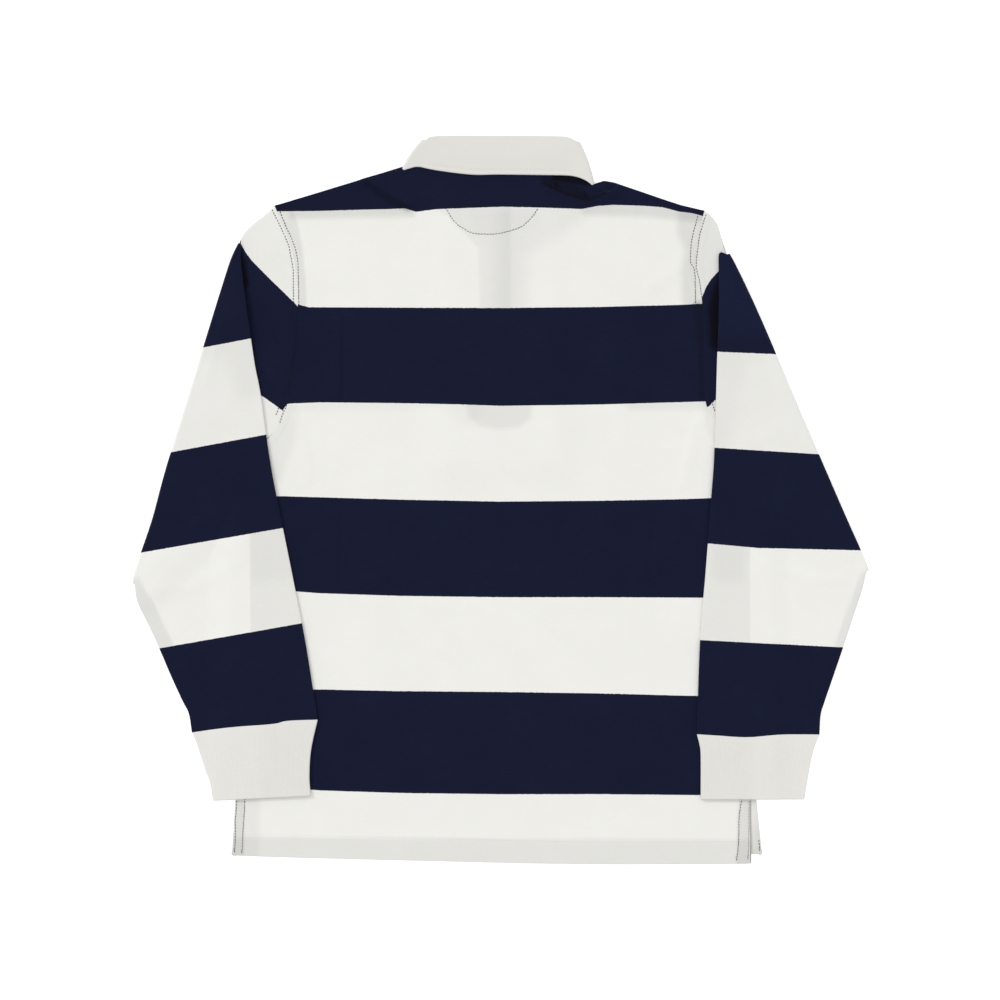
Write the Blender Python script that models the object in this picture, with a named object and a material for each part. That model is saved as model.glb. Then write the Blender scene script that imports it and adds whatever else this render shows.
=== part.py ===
"""A long-sleeved striped polo shirt, laid flat with its back up and its sleeves folded over.

The shirt lies in the XY plane with its collar towards +Y and its hem towards -Y. Every size in
this file is a real one in millimetres, and the meshes are made in metres. Cloth lies in two
layers, the front on the floor and the back on it, and heights are measured up from the floor.
"""
import math

import bpy
import numpy as np

MM = 0.001

# Cloth thicknesses and the gap that is left at a seam or between two layers
JERSEY = 1.2
COLLAR_CLOTH = 1.5
RIB = 1.6
GAP = 0.3
BACK_ABOVE_FRONT = JERSEY + GAP
TWO_LAYERS = 2 * JERSEY + GAP

# The sleeve is folded over with this radius inside the fold
FOLD_RADIUS = 0.3
FOLD_STEPS = 6
FOLDED_HEIGHT = TWO_LAYERS + 2 * FOLD_RADIUS

# The front lies on the collar's leaves and on the placket with its buttons
BUTTON_THICK = 2.0
BUTTON_DIAMETER = 11.0
BUTTON_PLACES = ((1.8, 273.0), (1.8, 200.0), (1.8, 127.0))
PLACKET_BASE = BUTTON_THICK + GAP
LEAF_LIFT = COLLAR_CLOTH + GAP
PLACKET_LIFT = PLACKET_BASE + JERSEY + GAP
SLACK = 1.1
PUFF = 0.9

# How many cells the meshes have
SIDE_ROWS = 11
ARMHOLE_ROWS = 10
SHOULDER_COLUMNS = 6
NECK_COLUMNS = 8
SLEEVE_NEAR_RINGS = 4
SLEEVE_FAR_RINGS = 12
CUFF_RINGS = 4
CAP_STEPS = 4
COLLAR_ROWS = 4
LEAF_COLUMNS = 6
COLLAR_COLUMNS = 10

# Seams and edges of the body, each a list of (x, y)
SHOULDER_LEFT = ((-234.9, 307.7), (-134.1, 337.5), (-99.4, 345.4), (-94.0, 345.0))
SHOULDER_RIGHT = ((94.5, 331.5), (101.0, 327.0), (109.5, 331.5), (125.0, 329.5), (215.5, 302.4))
NECK_BACK = ((-94.0, 345.0), (-61.7, 346.2), (0.3, 344.6), (64.0, 344.0), (86.0, 339.0), (94.5, 331.5))
NECK_FRONT_LEFT = ((-94.0, 345.0), (-78.0, 316.0), (-43.0, 295.0), (1.8, 289.0))
NECK_FRONT_RIGHT = ((1.8, 289.0), (46.0, 294.0), (80.0, 311.0), (94.5, 331.5))
ARMHOLE_LEFT = (
    (-250.7, 58.8), (-233.9, 73.5), (-224.4, 105.0), (-219.2, 136.5), (-213.9, 178.5),
    (-210.8, 204.8), (-211.8, 231.0), (-217.1, 262.5), (-225.5, 284.6), (-234.9, 307.7),
)
ARMHOLE_RIGHT = (
    (242.8, 63.0), (226.0, 84.0), (216.6, 105.0), (215.5, 157.5), (213.4, 204.8),
    (210.5, 222.0), (205.0, 243.0), (209.2, 267.8), (211.3, 283.5), (215.5, 302.4),
)
SIDE_LEFT = ((-279.6, -372.8), (-275.9, -315.0), (-270.6, -273.0), (-265.4, -157.5), (-261.2, -63.0),
             (-250.7, 58.8))
SIDE_RIGHT = ((262.8, -380.1), (262.8, -315.0), (265.9, -299.2), (266.4, -252.0), (263.8, -147.0),
              (261.7, -63.0), (242.8, 63.0))
SIDE_RIGHT_FRONT = ((275.9, -371.7), (269.9, -315.0), (265.9, -299.2), (266.4, -252.0),
                    (263.8, -147.0), (261.7, -63.0), (242.8, 63.0))
HEM_BACK = ((-279.6, -372.8), (-201.3, -375.9), (63.3, -382.2), (246.0, -382.2), (262.8, -380.1))
HEM_FRONT = ((-279.6, -372.8), (0.0, -374.5), (275.9, -371.7))

# Each sleeve: the ends of its fold, the edges of the folded part down to the cuff, and the cuff
SLEEVES = {
    "left": {
        "armhole": ARMHOLE_LEFT,
        "fold_top": (-271.7, 267.8),
        "fold_low": (-384.0, -92.4),
        "inner_edge": ((-271.7, 267.8), (-261.2, 168.0), (-248.6, 115.5), (-226.5, -29.4),
                       (-208.7, -128.1), (-189.8, -231.0)),
        "outer_edge": ((-384.0, -92.4), (-355.7, -154.3), (-337.8, -199.5), (-322.1, -244.7)),
        "cuff_inner": ((-189.8, -231.0), (-196.6, -262.0), (-198.4, -290.0), (-196.1, -309.8)),
        "cuff_outer": ((-322.1, -244.7), (-310.0, -284.0), (-300.0, -315.0)),
        "lift_centre": (-262.0, 190.0),
    },
    "right": {
        "armhole": ARMHOLE_RIGHT,
        "fold_top": (240.7, 262.5),
        "fold_low": (384.0, -78.8),
        "inner_edge": ((240.7, 262.5), (231.3, 154.3), (227.1, 52.5), (219.7, -46.2),
                       (212.0, -147.0), (208.0, -246.3)),
        "outer_edge": ((384.0, -78.8), (360.4, -155.4), (349.9, -189.0), (337.3, -246.8)),
        "cuff_inner": ((208.0, -246.3), (212.0, -282.0), (214.5, -313.5)),
        "cuff_outer": ((337.3, -246.8), (330.0, -282.0), (321.6, -313.9)),
        "lift_centre": (232.0, 180.0),
    },
}
EDGE_LIFT = 4.0
EDGE_LIFT_RADIUS = 62.0

# The collar's roll line and its outer edge, on the back and on the two leaves under the front
COLLAR_OUTSIDE = 2 * COLLAR_CLOTH + 2 * GAP + TWO_LAYERS
ROLL_BACK = ((-80.6, 379.1), (-64.8, 382.2), (-2.9, 382.2), (71.7, 380.6), (84.3, 378.0))
EDGE_BACK = ((-102.0, 347.7), (-85.5, 348.0), (-37.5, 341.2), (-2.9, 341.8), (70.0, 340.4),
             (90.0, 336.0), (103.2, 328.7))
ROLL_LEAF_LEFT = ((-80.6, 379.1), (-60.0, 350.0), (-30.0, 325.0), (0.8, 315.0))
EDGE_LEAF_LEFT = ((-102.0, 347.7), (-92.1, 302.4), (-55.0, 281.0), (-23.9, 266.7))
ROLL_LEAF_RIGHT = ((84.3, 378.0), (66.0, 348.0), (34.0, 325.0), (2.8, 315.0))
EDGE_LEAF_RIGHT = ((103.2, 328.7), (101.1, 302.4), (64.0, 274.0), (27.6, 249.9))
BAND_SHARE_OF_FALL = 0.80

PLACKET_WIDTH = 45.0
PLACKET_TOP = 288.0
PLACKET_BOTTOM = 73.5
PLACKET_CORNER = 12.0
PLACKET_CENTRE = 1.8


def smooth_step(value, start, end):
    """0 up to start and 1 from end, with a smooth run between."""
    t = np.clip((value - start) / (end - start), 0.0, 1.0)
    return t * t * (3.0 - 2.0 * t)


def lift(x, y):
    """How high the front lies above the floor, on the leaves, the placket and its buttons."""
    leaves = LEAF_LIFT * (1 - smooth_step(abs(x), 128, 200)) * smooth_step(y, 150, 215)
    placket = PLACKET_LIFT * (1 - smooth_step(abs(x - PLACKET_CENTRE), 50, 95))
    placket *= smooth_step(y, 0, 45) * (1 - smooth_step(y, 300, 345))
    return (leaves**6 + placket**6) ** (1 / 6)


def puff(x, y):
    """The soft rise and fall of the back where nothing lies on it, and its slack over the front."""
    window = (1 - smooth_step(abs(x), 110, 180)) * smooth_step(y, -350, -270)
    slack = SLACK * window * (1 - smooth_step(y, 316, 330))
    slack *= 1 - smooth_step(y, 240, 300) * smooth_step(abs(x), 75, 105)
    waves = 1 + 0.6 * math.sin(x / 41 + y / 95) * math.cos(y / 62 - x / 130)
    return slack + PUFF * window * (1 - smooth_step(y, 150, 240)) * waves


def back_height(x, y):
    """The underside of the back."""
    return lift(x, y) + BACK_ABOVE_FRONT + puff(x, y)


def curve(points, cells):
    """cells + 1 points at even distances along a smooth curve through the given ones."""
    p = np.array(points, dtype=float)
    if len(p) == 2:
        fine = p
    else:
        padded = np.vstack([2 * p[0] - p[1], p, 2 * p[-1] - p[-2]])
        t = np.linspace(0, 1, 12, endpoint=False)[:, None]
        pieces = []
        for a, b, c, d in zip(padded, padded[1:], padded[2:], padded[3:]):
            pieces.append(
                0.5 * (2 * b + (c - a) * t + (2 * a - 5 * b + 4 * c - d) * t**2
                       + (3 * b - a - 3 * c + d) * t**3)
            )
        fine = np.vstack(pieces + [p[-1:]])
    return even(fine, cells)


def even(fine, cells):
    """cells + 1 points at even distances along a run of straight stretches."""
    far = np.concatenate([[0], np.cumsum(np.linalg.norm(np.diff(fine, axis=0), axis=1))])
    at = np.linspace(0, far[-1], cells + 1)
    return np.stack([np.interp(at, far, fine[:, k]) for k in range(fine.shape[1])], axis=1)


def joined(*runs):
    """Runs of points that follow each other, with their shared ends once."""
    return np.vstack([runs[0]] + [run[1:] for run in runs[1:]])


def unit(vector):
    return vector / np.linalg.norm(vector)


def moved_aside(points, distance):
    """A run of plan points moved to the left of its direction."""
    along = np.gradient(points, axis=0)
    along /= np.linalg.norm(along, axis=1)[:, None]
    return points + distance * np.stack([-along[:, 1], along[:, 0]], axis=1)


def coons(left, right, bottom, top):
    """Plan points that fill four border runs: rows from bottom to top, columns from left to right."""
    v = np.linspace(0, 1, len(left))[:, None, None]
    share = np.concatenate([[0], np.cumsum(np.linalg.norm(np.diff(top, axis=0), axis=1))])
    u = (share / share[-1])[None, :, None]
    across = (1 - u) * left[:, None] + u * right[:, None]
    down = (1 - v) * bottom[None] + v * top[None]
    corners = (1 - u) * (1 - v) * left[0] + u * (1 - v) * right[0] + (1 - u) * v * left[-1]
    corners = corners + u * v * right[-1]
    return across + down - corners


def with_height(plan, height):
    """Plan points with the height that a function of x and y gives."""
    return np.array([[(x, y, height(x, y)) for x, y in row] for row in plan])


def material(name, colour, roughness):
    made = bpy.data.materials.new(name)
    made.use_nodes = True
    shader = made.node_tree.nodes["Principled BSDF"]
    shader.inputs["Base Color"].default_value = (*colour, 1)
    shader.inputs["Roughness"].default_value = roughness
    shader.inputs["Metallic"].default_value = 0
    return made


def add_object(name, vertices, faces, look):
    mesh = bpy.data.meshes.new(name)
    mesh.from_pydata([tuple(MM * np.array(v)) for v in vertices], [], faces)
    mesh.materials.append(look)
    mesh.validate()
    mesh.shade_smooth()
    mesh.set_sharp_from_angle(angle=math.radians(50))
    made = bpy.data.objects.new(name, mesh)
    bpy.context.scene.collection.objects.link(made)
    return made


def signed_volume(vertices, faces):
    """Positive where the faces look out of the body that they close."""
    total = 0.0
    for face in faces:
        a = vertices[face[0]]
        for second, third in zip(face[1:], face[2:]):
            total += np.dot(a, np.cross(vertices[second], vertices[third]))
    return total / 6


def closed_object(name, vertices, faces, look):
    """An object of these faces, turned so that they look outwards."""
    vertices = np.asarray(vertices)
    if signed_volume(vertices, faces) < 0:
        faces = [face[::-1] for face in faces]
    return add_object(name, vertices, faces, look)


def wall_from_sheets(name, inner, outer, look):
    """A wall between two grids of points, closed all round its border."""
    rows, columns = inner.shape[:2]
    vertices = np.vstack([inner.reshape(-1, 3), outer.reshape(-1, 3)])
    step = rows * columns
    faces = []
    for i in range(rows - 1):
        for j in range(columns - 1):
            a = i * columns + j
            cell = (a, a + 1, a + columns + 1, a + columns)
            faces.append(cell[::-1])
            faces.append(tuple(k + step for k in cell))
    border = [j for j in range(columns)]
    border += [i * columns + columns - 1 for i in range(1, rows)]
    border += [(rows - 1) * columns + j for j in range(columns - 2, -1, -1)]
    border += [i * columns for i in range(rows - 2, 0, -1)]
    for a, b in zip(border, border[1:] + border[:1]):
        faces.append((a, b, b + step, a + step))
    return closed_object(name, vertices, faces, look)


def wall_from_rings(name, outer, inner, look):
    """A tube with open ends: closed rings of points outside and inside, joined at both ends."""
    rings, around = outer.shape[:2]
    vertices = np.vstack([outer.reshape(-1, 3), inner.reshape(-1, 3)])
    step = rings * around
    faces = []
    for i in range(rings - 1):
        for j in range(around):
            k = (j + 1) % around
            cell = (i * around + j, i * around + k, (i + 1) * around + k, (i + 1) * around + j)
            faces.append(cell)
            faces.append(tuple(n + step for n in cell[::-1]))
    for i in (0, rings - 1):
        for j in range(around):
            k = (j + 1) % around
            cap = (i * around + j, i * around + k, step + i * around + k, step + i * around + j)
            faces.append(cap if i else cap[::-1])
    return closed_object(name, vertices, faces, look)


def flat_ring(across, thick, radius):
    """One ring of a tube that lies flat, as (x, y, height) points: over the top and back below.

    across is the ring's plan from edge to edge, thick the height of both layers, and radius
    that of the turn at each edge, measured from the middle height.
    """
    middle = thick / 2
    start = across[0] + middle * unit(across[1] - across[0])
    end = across[-1] + middle * unit(across[-2] - across[-1])
    outwards_end = unit(across[-1] - across[-2])
    outwards_start = unit(across[0] - across[1])
    ring = [(*point, middle + radius) for point in across[1:-1]]
    for centre, outwards, first in ((end, outwards_end, 0.0), (start, outwards_start, math.pi)):
        for step in range(CAP_STEPS + 1):
            angle = first + math.pi * step / CAP_STEPS
            reach = radius * abs(math.sin(angle))
            height = middle + radius * math.cos(angle)
            ring.append((*(centre + reach * outwards), height))
        if first == 0.0:
            ring += [(*point, middle - radius) for point in across[-2:0:-1]]
    return np.array(ring)


def both_rings(across, thick, wall):
    """The outer and the inner ring of a flat tube."""
    return flat_ring(across, thick, thick / 2), flat_ring(across, thick, thick / 2 - wall)


def distance_outside(x, y, outline):
    """How far a point lies outside a closed outline, or 0 inside it."""
    inside = False
    nearest = math.inf
    point = np.array((x, y))
    for a, b in zip(outline, np.roll(outline, -1, axis=0)):
        if (a[1] > y) != (b[1] > y) and x < a[0] + (b[0] - a[0]) * (y - a[1]) / (b[1] - a[1]):
            inside = not inside
        share = np.clip(np.dot(point - a, b - a) / np.dot(b - a, b - a), 0, 1)
        nearest = min(nearest, np.linalg.norm(point - a - share * (b - a)))
    return 0.0 if inside else nearest


def body_borders():
    """The borders of the back and the front, from left to right and from the hem up."""
    left = joined(curve(SIDE_LEFT, SIDE_ROWS), curve(ARMHOLE_LEFT, ARMHOLE_ROWS))
    right = joined(curve(SIDE_RIGHT, SIDE_ROWS), curve(ARMHOLE_RIGHT, ARMHOLE_ROWS))
    right_front = joined(curve(SIDE_RIGHT_FRONT, SIDE_ROWS), curve(ARMHOLE_RIGHT, ARMHOLE_ROWS))
    shoulder_left = even(np.array(SHOULDER_LEFT), SHOULDER_COLUMNS)
    shoulder_right = even(np.array(SHOULDER_RIGHT), SHOULDER_COLUMNS)
    # The even points leave out the corner beside the collar, so it goes back in
    shoulder_left[-2] = SHOULDER_LEFT[-2]
    shoulder_right[1] = SHOULDER_RIGHT[1]
    half_neck = NECK_COLUMNS // 2
    neck_front = joined(curve(NECK_FRONT_LEFT, half_neck), curve(NECK_FRONT_RIGHT, half_neck))
    neck_back = curve(NECK_BACK, NECK_COLUMNS)
    columns = 2 * SHOULDER_COLUMNS + NECK_COLUMNS
    return {
        "left": left,
        "right": right,
        "right_front": right_front,
        "top_back": joined(shoulder_left, neck_back, shoulder_right),
        "top_front": joined(shoulder_left, neck_front, shoulder_right),
        "neck_back": neck_back,
        "neck_front": neck_front,
        "hem_back": curve(HEM_BACK, columns),
        "hem_front": curve(HEM_FRONT, columns),
    }


def build_body(borders, look):
    """The front on the floor, and the back on it."""
    front = coons(borders["left"], borders["right_front"], borders["hem_front"], borders["top_front"])
    back = coons(borders["left"], borders["right"], borders["hem_back"], borders["top_back"])
    wall_from_sheets("front", with_height(front, lift),
                     with_height(front, lambda x, y: lift(x, y) + JERSEY), look)
    wall_from_sheets("back", with_height(back, back_height),
                     with_height(back, lambda x, y: back_height(x, y) + JERSEY), look)


def sleeve_base(sleeve, borders):
    """A function that gives the lowest height of the folded part, which drapes to the floor."""
    near = np.vstack([curve(sleeve["armhole"], ARMHOLE_ROWS), sleeve["fold_top"], sleeve["fold_low"]])
    body = np.vstack([borders["hem_back"], borders["right"][1:], borders["top_back"][-2::-1],
                      borders["left"][-2:0:-1]])
    centre = np.array(sleeve["lift_centre"])

    def base(x, y):
        off = min(distance_outside(x, y, near), distance_outside(x, y, body))
        away = np.linalg.norm(((x, y) - centre) * (1.6, 1.0))
        raised = EDGE_LIFT * (1 - smooth_step(away, 0, EDGE_LIFT_RADIUS))
        return FOLDED_HEIGHT * (1 - smooth_step(off, 16, 45)) + raised

    return base


def build_sleeve(side, sleeve, borders, look, rib_look):
    """One sleeve from its armhole, round its fold and down to the cuff, and the cuff."""
    top, low = np.array(sleeve["fold_top"]), np.array(sleeve["fold_low"])
    along_fold = unit(low - top)
    outwards = np.array((along_fold[1], -along_fold[0]))
    armhole = curve(sleeve["armhole"], ARMHOLE_ROWS)[::-1]
    if np.dot(outwards, top - armhole[0]) < 0:
        outwards = -outwards
    seam_side = GAP + 0.1 if side == "right" else -GAP - 0.1
    armhole = moved_aside(armhole, seam_side)
    fold = even(np.vstack([top, low]), ARMHOLE_ROWS)
    # The fold's outermost points reach the outline, so its line lies inside it
    fold = fold - outwards * (TWO_LAYERS + FOLD_RADIUS)
    base = sleeve_base(sleeve, borders)
    centre_height = TWO_LAYERS + FOLD_RADIUS

    def bent(ring, angle):
        """A ring on the fold line, turned round the fold by this angle."""
        reach = centre_height - ring[:, 2]
        plan = ring[:, :2] + outwards * (reach * math.sin(angle))[:, None]
        return np.column_stack([plan, centre_height - reach * math.cos(angle)])

    def turned_over(ring):
        """A ring of the folded part, the other way up, on what it lies on."""
        height = [base(x, y) + TWO_LAYERS - h for x, y, h in ring]
        return np.column_stack([ring[:, :2], height])

    outer, inner = [], []
    for step in range(SLEEVE_NEAR_RINGS):
        share = step / SLEEVE_NEAR_RINGS
        for rings, ring in zip((outer, inner), both_rings((1 - share) * armhole + share * fold,
                                                          TWO_LAYERS, JERSEY)):
            rings.append(ring)
    for step in range(FOLD_STEPS + 1):
        for rings, ring in zip((outer, inner), both_rings(fold, TWO_LAYERS, JERSEY)):
            rings.append(bent(ring, math.pi * step / FOLD_STEPS))
    shift = fold[0] - top
    inner_edge = curve(sleeve["inner_edge"], SLEEVE_FAR_RINGS)
    outer_edge = curve(sleeve["outer_edge"], SLEEVE_FAR_RINGS)
    for step in range(1, SLEEVE_FAR_RINGS + 1):
        settle = 1 - step / SLEEVE_FAR_RINGS
        ends = np.vstack([inner_edge[step] + settle * shift, outer_edge[step] + settle * shift])
        for rings, ring in zip((outer, inner), both_rings(even(ends, ARMHOLE_ROWS),
                                                          TWO_LAYERS, JERSEY)):
            rings.append(turned_over(ring))
    wall_from_rings("sleeve_" + side, np.array(outer), np.array(inner), look)

    thick = 2 * RIB + GAP
    cuff_inner = curve(sleeve["cuff_inner"], CUFF_RINGS)
    cuff_outer = curve(sleeve["cuff_outer"], CUFF_RINGS)
    seam = unit(cuff_inner[-1] + cuff_outer[-1] - cuff_inner[0] - cuff_outer[0]) * (GAP + 0.1)
    outer, inner = [], []
    for step in range(CUFF_RINGS + 1):
        settle = 1 - step / CUFF_RINGS
        ends = np.vstack([cuff_inner[step], cuff_outer[step]]) + settle * seam
        for rings, ring in zip((outer, inner), both_rings(even(ends, ARMHOLE_ROWS), thick, RIB)):
            ring[:, 2] += [base(x, y) for x, y in ring[:, :2]]
            rings.append(ring)
    wall_from_rings("cuff_" + side, np.array(outer), np.array(inner), rib_look)


def collar_fold(roll, edge, side):
    """The middle line of the collar's turn at one side, from the roll line to the outer edge."""
    roll, edge = np.array(roll), np.array(edge)
    down = unit(edge - roll)
    outwards = np.array((-down[1], down[0])) * side
    inset = outwards * COLLAR_OUTSIDE / 2
    return roll - inset, edge - inset, outwards


def build_round_neck(name, back, leaves, folds, heights, look):
    """A band of cloth round the neck: a leaf, a turn, the back, a turn and the other leaf.

    back and leaves give (upper run, lower run) of plan points, folds the same at each turn, and
    heights the inner and outer heights of the lower layer, the upper layer and the two radii.
    """
    (low_in, low_out), (high_in, high_out), (radius_in, radius_out) = heights
    middle = COLLAR_OUTSIDE / 2
    columns_in, columns_out = [], []

    def flat_column(upper, lower, inner_height, outer_height):
        line = even(np.vstack([upper, lower]), COLLAR_ROWS)
        columns_in.append([(x, y, inner_height(x, y)) for x, y in line])
        columns_out.append([(x, y, outer_height(x, y)) for x, y in line])

    def turned_column(fold, angle):
        upper, lower, outwards = fold
        line = even(np.vstack([upper, lower]), COLLAR_ROWS)
        for columns, radius in ((columns_in, radius_in), (columns_out, radius_out)):
            plan = line + outwards * radius * math.sin(angle)
            height = middle + radius * math.cos(angle)
            columns.append([(x, y, height) for x, y in plan])

    leaf_left, leaf_right = leaves
    for upper, lower in list(zip(*leaf_left))[:0:-1]:
        flat_column(upper, lower, low_in, low_out)
    for step in range(CAP_STEPS + 1):
        turned_column(folds[0], math.pi * (1 - step / CAP_STEPS))
    for upper, lower in list(zip(*back))[1:-1]:
        flat_column(upper, lower, high_in, high_out)
    for step in range(CAP_STEPS + 1):
        turned_column(folds[1], math.pi * step / CAP_STEPS)
    for upper, lower in list(zip(*leaf_right))[1:]:
        flat_column(upper, lower, low_in, low_out)
    wall_from_sheets(name, np.array(columns_in), np.array(columns_out), look)


def build_collar(borders, look):
    """The neck band, sewn to the neckline, and the fall that is turned down over it."""
    left = collar_fold(ROLL_BACK[0], EDGE_BACK[0], -1)
    right = collar_fold(ROLL_BACK[-1], EDGE_BACK[-1], 1)

    def between(points, first, last, cells):
        return curve([first, *points[1:-1], last], cells)

    roll_back = between(ROLL_BACK, left[0], right[0], COLLAR_COLUMNS)
    edge_back = between(EDGE_BACK, left[1], right[1], COLLAR_COLUMNS)
    roll_left = between(ROLL_LEAF_LEFT, left[0], ROLL_LEAF_LEFT[-1], LEAF_COLUMNS)
    edge_left = between(EDGE_LEAF_LEFT, left[1], EDGE_LEAF_LEFT[-1], LEAF_COLUMNS)
    roll_right = between(ROLL_LEAF_RIGHT, right[0], ROLL_LEAF_RIGHT[-1], LEAF_COLUMNS)
    edge_right = between(EDGE_LEAF_RIGHT, right[1], EDGE_LEAF_RIGHT[-1], LEAF_COLUMNS)
    build_round_neck(
        "collar", (roll_back, edge_back), ((roll_left, edge_left), (roll_right, edge_right)),
        (left, right),
        ((lambda x, y: COLLAR_CLOTH, lambda x, y: 0.0),
         (lambda x, y: back_height(x, y) + JERSEY + GAP,
          lambda x, y: back_height(x, y) + JERSEY + GAP + COLLAR_CLOTH),
         (COLLAR_OUTSIDE / 2 - COLLAR_CLOTH, COLLAR_OUTSIDE / 2)),
        look,
    )

    # The band's turns lie inside the fall's, and its seam follows the neckline
    def shorter(fold):
        upper, lower, outwards = fold
        return upper + 0.01 * (lower - upper), upper + BAND_SHARE_OF_FALL * (lower - upper), outwards

    left_band, right_band = shorter(left), shorter(right)
    seam_gap = 2 * GAP
    half_neck = NECK_COLUMNS // 2
    seam_back = moved_aside(borders["neck_back"], seam_gap)
    seam_front = moved_aside(borders["neck_front"], seam_gap)
    seam_back[0], seam_back[-1] = left_band[1], right_band[1]
    seam_left = seam_front[: half_neck + 1].copy()
    seam_right = seam_front[half_neck:].copy()[::-1]
    seam_left[0], seam_right[0] = left_band[1], right_band[1]
    seam_left[-1][0] = ROLL_LEAF_LEFT[-1][0]
    seam_right[-1][0] = ROLL_LEAF_RIGHT[-1][0]
    build_round_neck(
        "neck_band", (curve([left_band[0], *ROLL_BACK[1:-1], right_band[0]], NECK_COLUMNS), seam_back),
        ((curve([left_band[0], *ROLL_LEAF_LEFT[1:]], half_neck), seam_left),
         (curve([right_band[0], *ROLL_LEAF_RIGHT[1:]], half_neck), seam_right)),
        (left_band, right_band),
        ((lambda x, y: lift(x, y) + JERSEY, lift),
         (back_height, lambda x, y: back_height(x, y) + JERSEY),
         (TWO_LAYERS / 2 - JERSEY, TWO_LAYERS / 2)),
        look,
    )


def build_placket(look):
    """The closing strip on the outside of the front, which lies on its buttons."""
    half = PLACKET_WIDTH / 2
    outline = [(PLACKET_CENTRE + half, PLACKET_TOP), (PLACKET_CENTRE - half, PLACKET_TOP)]
    for side, first in ((-1, math.pi), (1, 1.5 * math.pi)):
        centre = (PLACKET_CENTRE + side * (half - PLACKET_CORNER), PLACKET_BOTTOM + PLACKET_CORNER)
        for step in range(5):
            angle = first + 0.5 * math.pi * step / 4
            outline.append((centre[0] + PLACKET_CORNER * math.cos(angle),
                            centre[1] + PLACKET_CORNER * math.sin(angle)))
    count = len(outline)
    vertices = [(x, y, z) for z in (PLACKET_BASE, PLACKET_BASE + JERSEY) for x, y in outline]
    faces = [tuple(range(count))[::-1], tuple(range(count, 2 * count))]
    faces += [(i, (i + 1) % count, count + (i + 1) % count, count + i) for i in range(count)]
    closed_object("placket", vertices, faces, look)


def build_button(name, place, look):
    """A round button, face down, with a rim round a shallow dish."""
    radius = BUTTON_DIAMETER / 2
    profile = ((0.0, BUTTON_THICK), (radius - 0.8, BUTTON_THICK), (radius, BUTTON_THICK - 0.7),
               (radius, 0.5), (radius - 0.5, 0.0), (radius - 1.3, 0.0), (radius - 2.0, 0.6), (0.0, 0.6))
    around = 24
    vertices = [(*place, profile[0][1])]
    for reach, height in profile[1:-1]:
        for step in range(around):
            angle = 2 * math.pi * step / around
            vertices.append((place[0] + reach * math.cos(angle), place[1] + reach * math.sin(angle),
                             height))
    vertices.append((*place, profile[-1][1]))
    last = len(vertices) - 1
    faces = []
    for step in range(around):
        following = (step + 1) % around
        faces.append((0, 1 + step, 1 + following))
        for row in range(len(profile) - 3):
            a, b = 1 + row * around + step, 1 + row * around + following
            faces.append((a, a + around, b + around, b))
        final = 1 + (len(profile) - 3) * around
        faces.append((last, final + following, final + step))
    closed_object(name, vertices, faces, look)


def centre_on_origin():
    """Move every mesh so that the whole shirt's box has its middle on the Z axis."""
    corners = np.array([v.co[:2] for o in bpy.context.scene.objects for v in o.data.vertices])
    middle = (corners.min(axis=0) + corners.max(axis=0)) / 2
    for made in bpy.context.scene.objects:
        for vertex in made.data.vertices:
            vertex.co.x -= middle[0]
            vertex.co.y -= middle[1]


def main():
    for old in list(bpy.data.objects):
        bpy.data.objects.remove(old, do_unlink=True)
    jersey = material("striped_jersey", (0.84, 0.83, 0.79), 0.85)
    rib = material("white_rib", (0.76, 0.75, 0.72), 0.9)
    woven = material("white_woven_cotton", (0.76, 0.75, 0.71), 0.75)
    plastic = material("button_plastic", (0.85, 0.84, 0.8), 0.35)
    borders = body_borders()
    build_body(borders, jersey)
    for side, sleeve in SLEEVES.items():
        build_sleeve(side, sleeve, borders, jersey, rib)
    build_collar(borders, woven)
    build_placket(jersey)
    for number, place in enumerate(BUTTON_PLACES, 1):
        build_button(f"button_{number}", place, plastic)
    centre_on_origin()


main()
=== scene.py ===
"""The looks of the striped polo shirt: fine cloth shells, stitching, materials, light and camera.

The plan sizes here are the part's own, in millimetres, in the frame in which the shirt was drawn.
place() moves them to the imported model's frame, in metres.
"""
import math

import bpy
import numpy as np
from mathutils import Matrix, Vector
from mathutils.bvhtree import BVHTree


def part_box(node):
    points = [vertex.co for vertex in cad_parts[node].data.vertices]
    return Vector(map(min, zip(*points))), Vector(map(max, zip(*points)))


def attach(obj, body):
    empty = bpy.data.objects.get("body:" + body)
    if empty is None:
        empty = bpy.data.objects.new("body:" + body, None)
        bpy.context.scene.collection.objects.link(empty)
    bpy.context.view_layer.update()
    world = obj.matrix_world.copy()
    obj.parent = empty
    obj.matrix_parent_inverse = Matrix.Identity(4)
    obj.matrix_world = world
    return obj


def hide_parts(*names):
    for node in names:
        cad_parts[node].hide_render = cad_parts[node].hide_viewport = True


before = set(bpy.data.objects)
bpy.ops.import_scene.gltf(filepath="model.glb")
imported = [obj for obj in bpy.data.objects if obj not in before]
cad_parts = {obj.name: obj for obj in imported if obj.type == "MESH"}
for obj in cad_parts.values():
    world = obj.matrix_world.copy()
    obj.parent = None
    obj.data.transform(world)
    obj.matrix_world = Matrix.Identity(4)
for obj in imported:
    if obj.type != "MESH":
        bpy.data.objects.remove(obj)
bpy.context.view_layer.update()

MM = 0.001
# The real width of a pixel of the photo in metres, and the plan place of the photo's middle
PIXEL = 1.05 * MM
PHOTO_MIDDLE = (1.31, -0.45)
RANDOM = np.random.default_rng(12)

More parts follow.
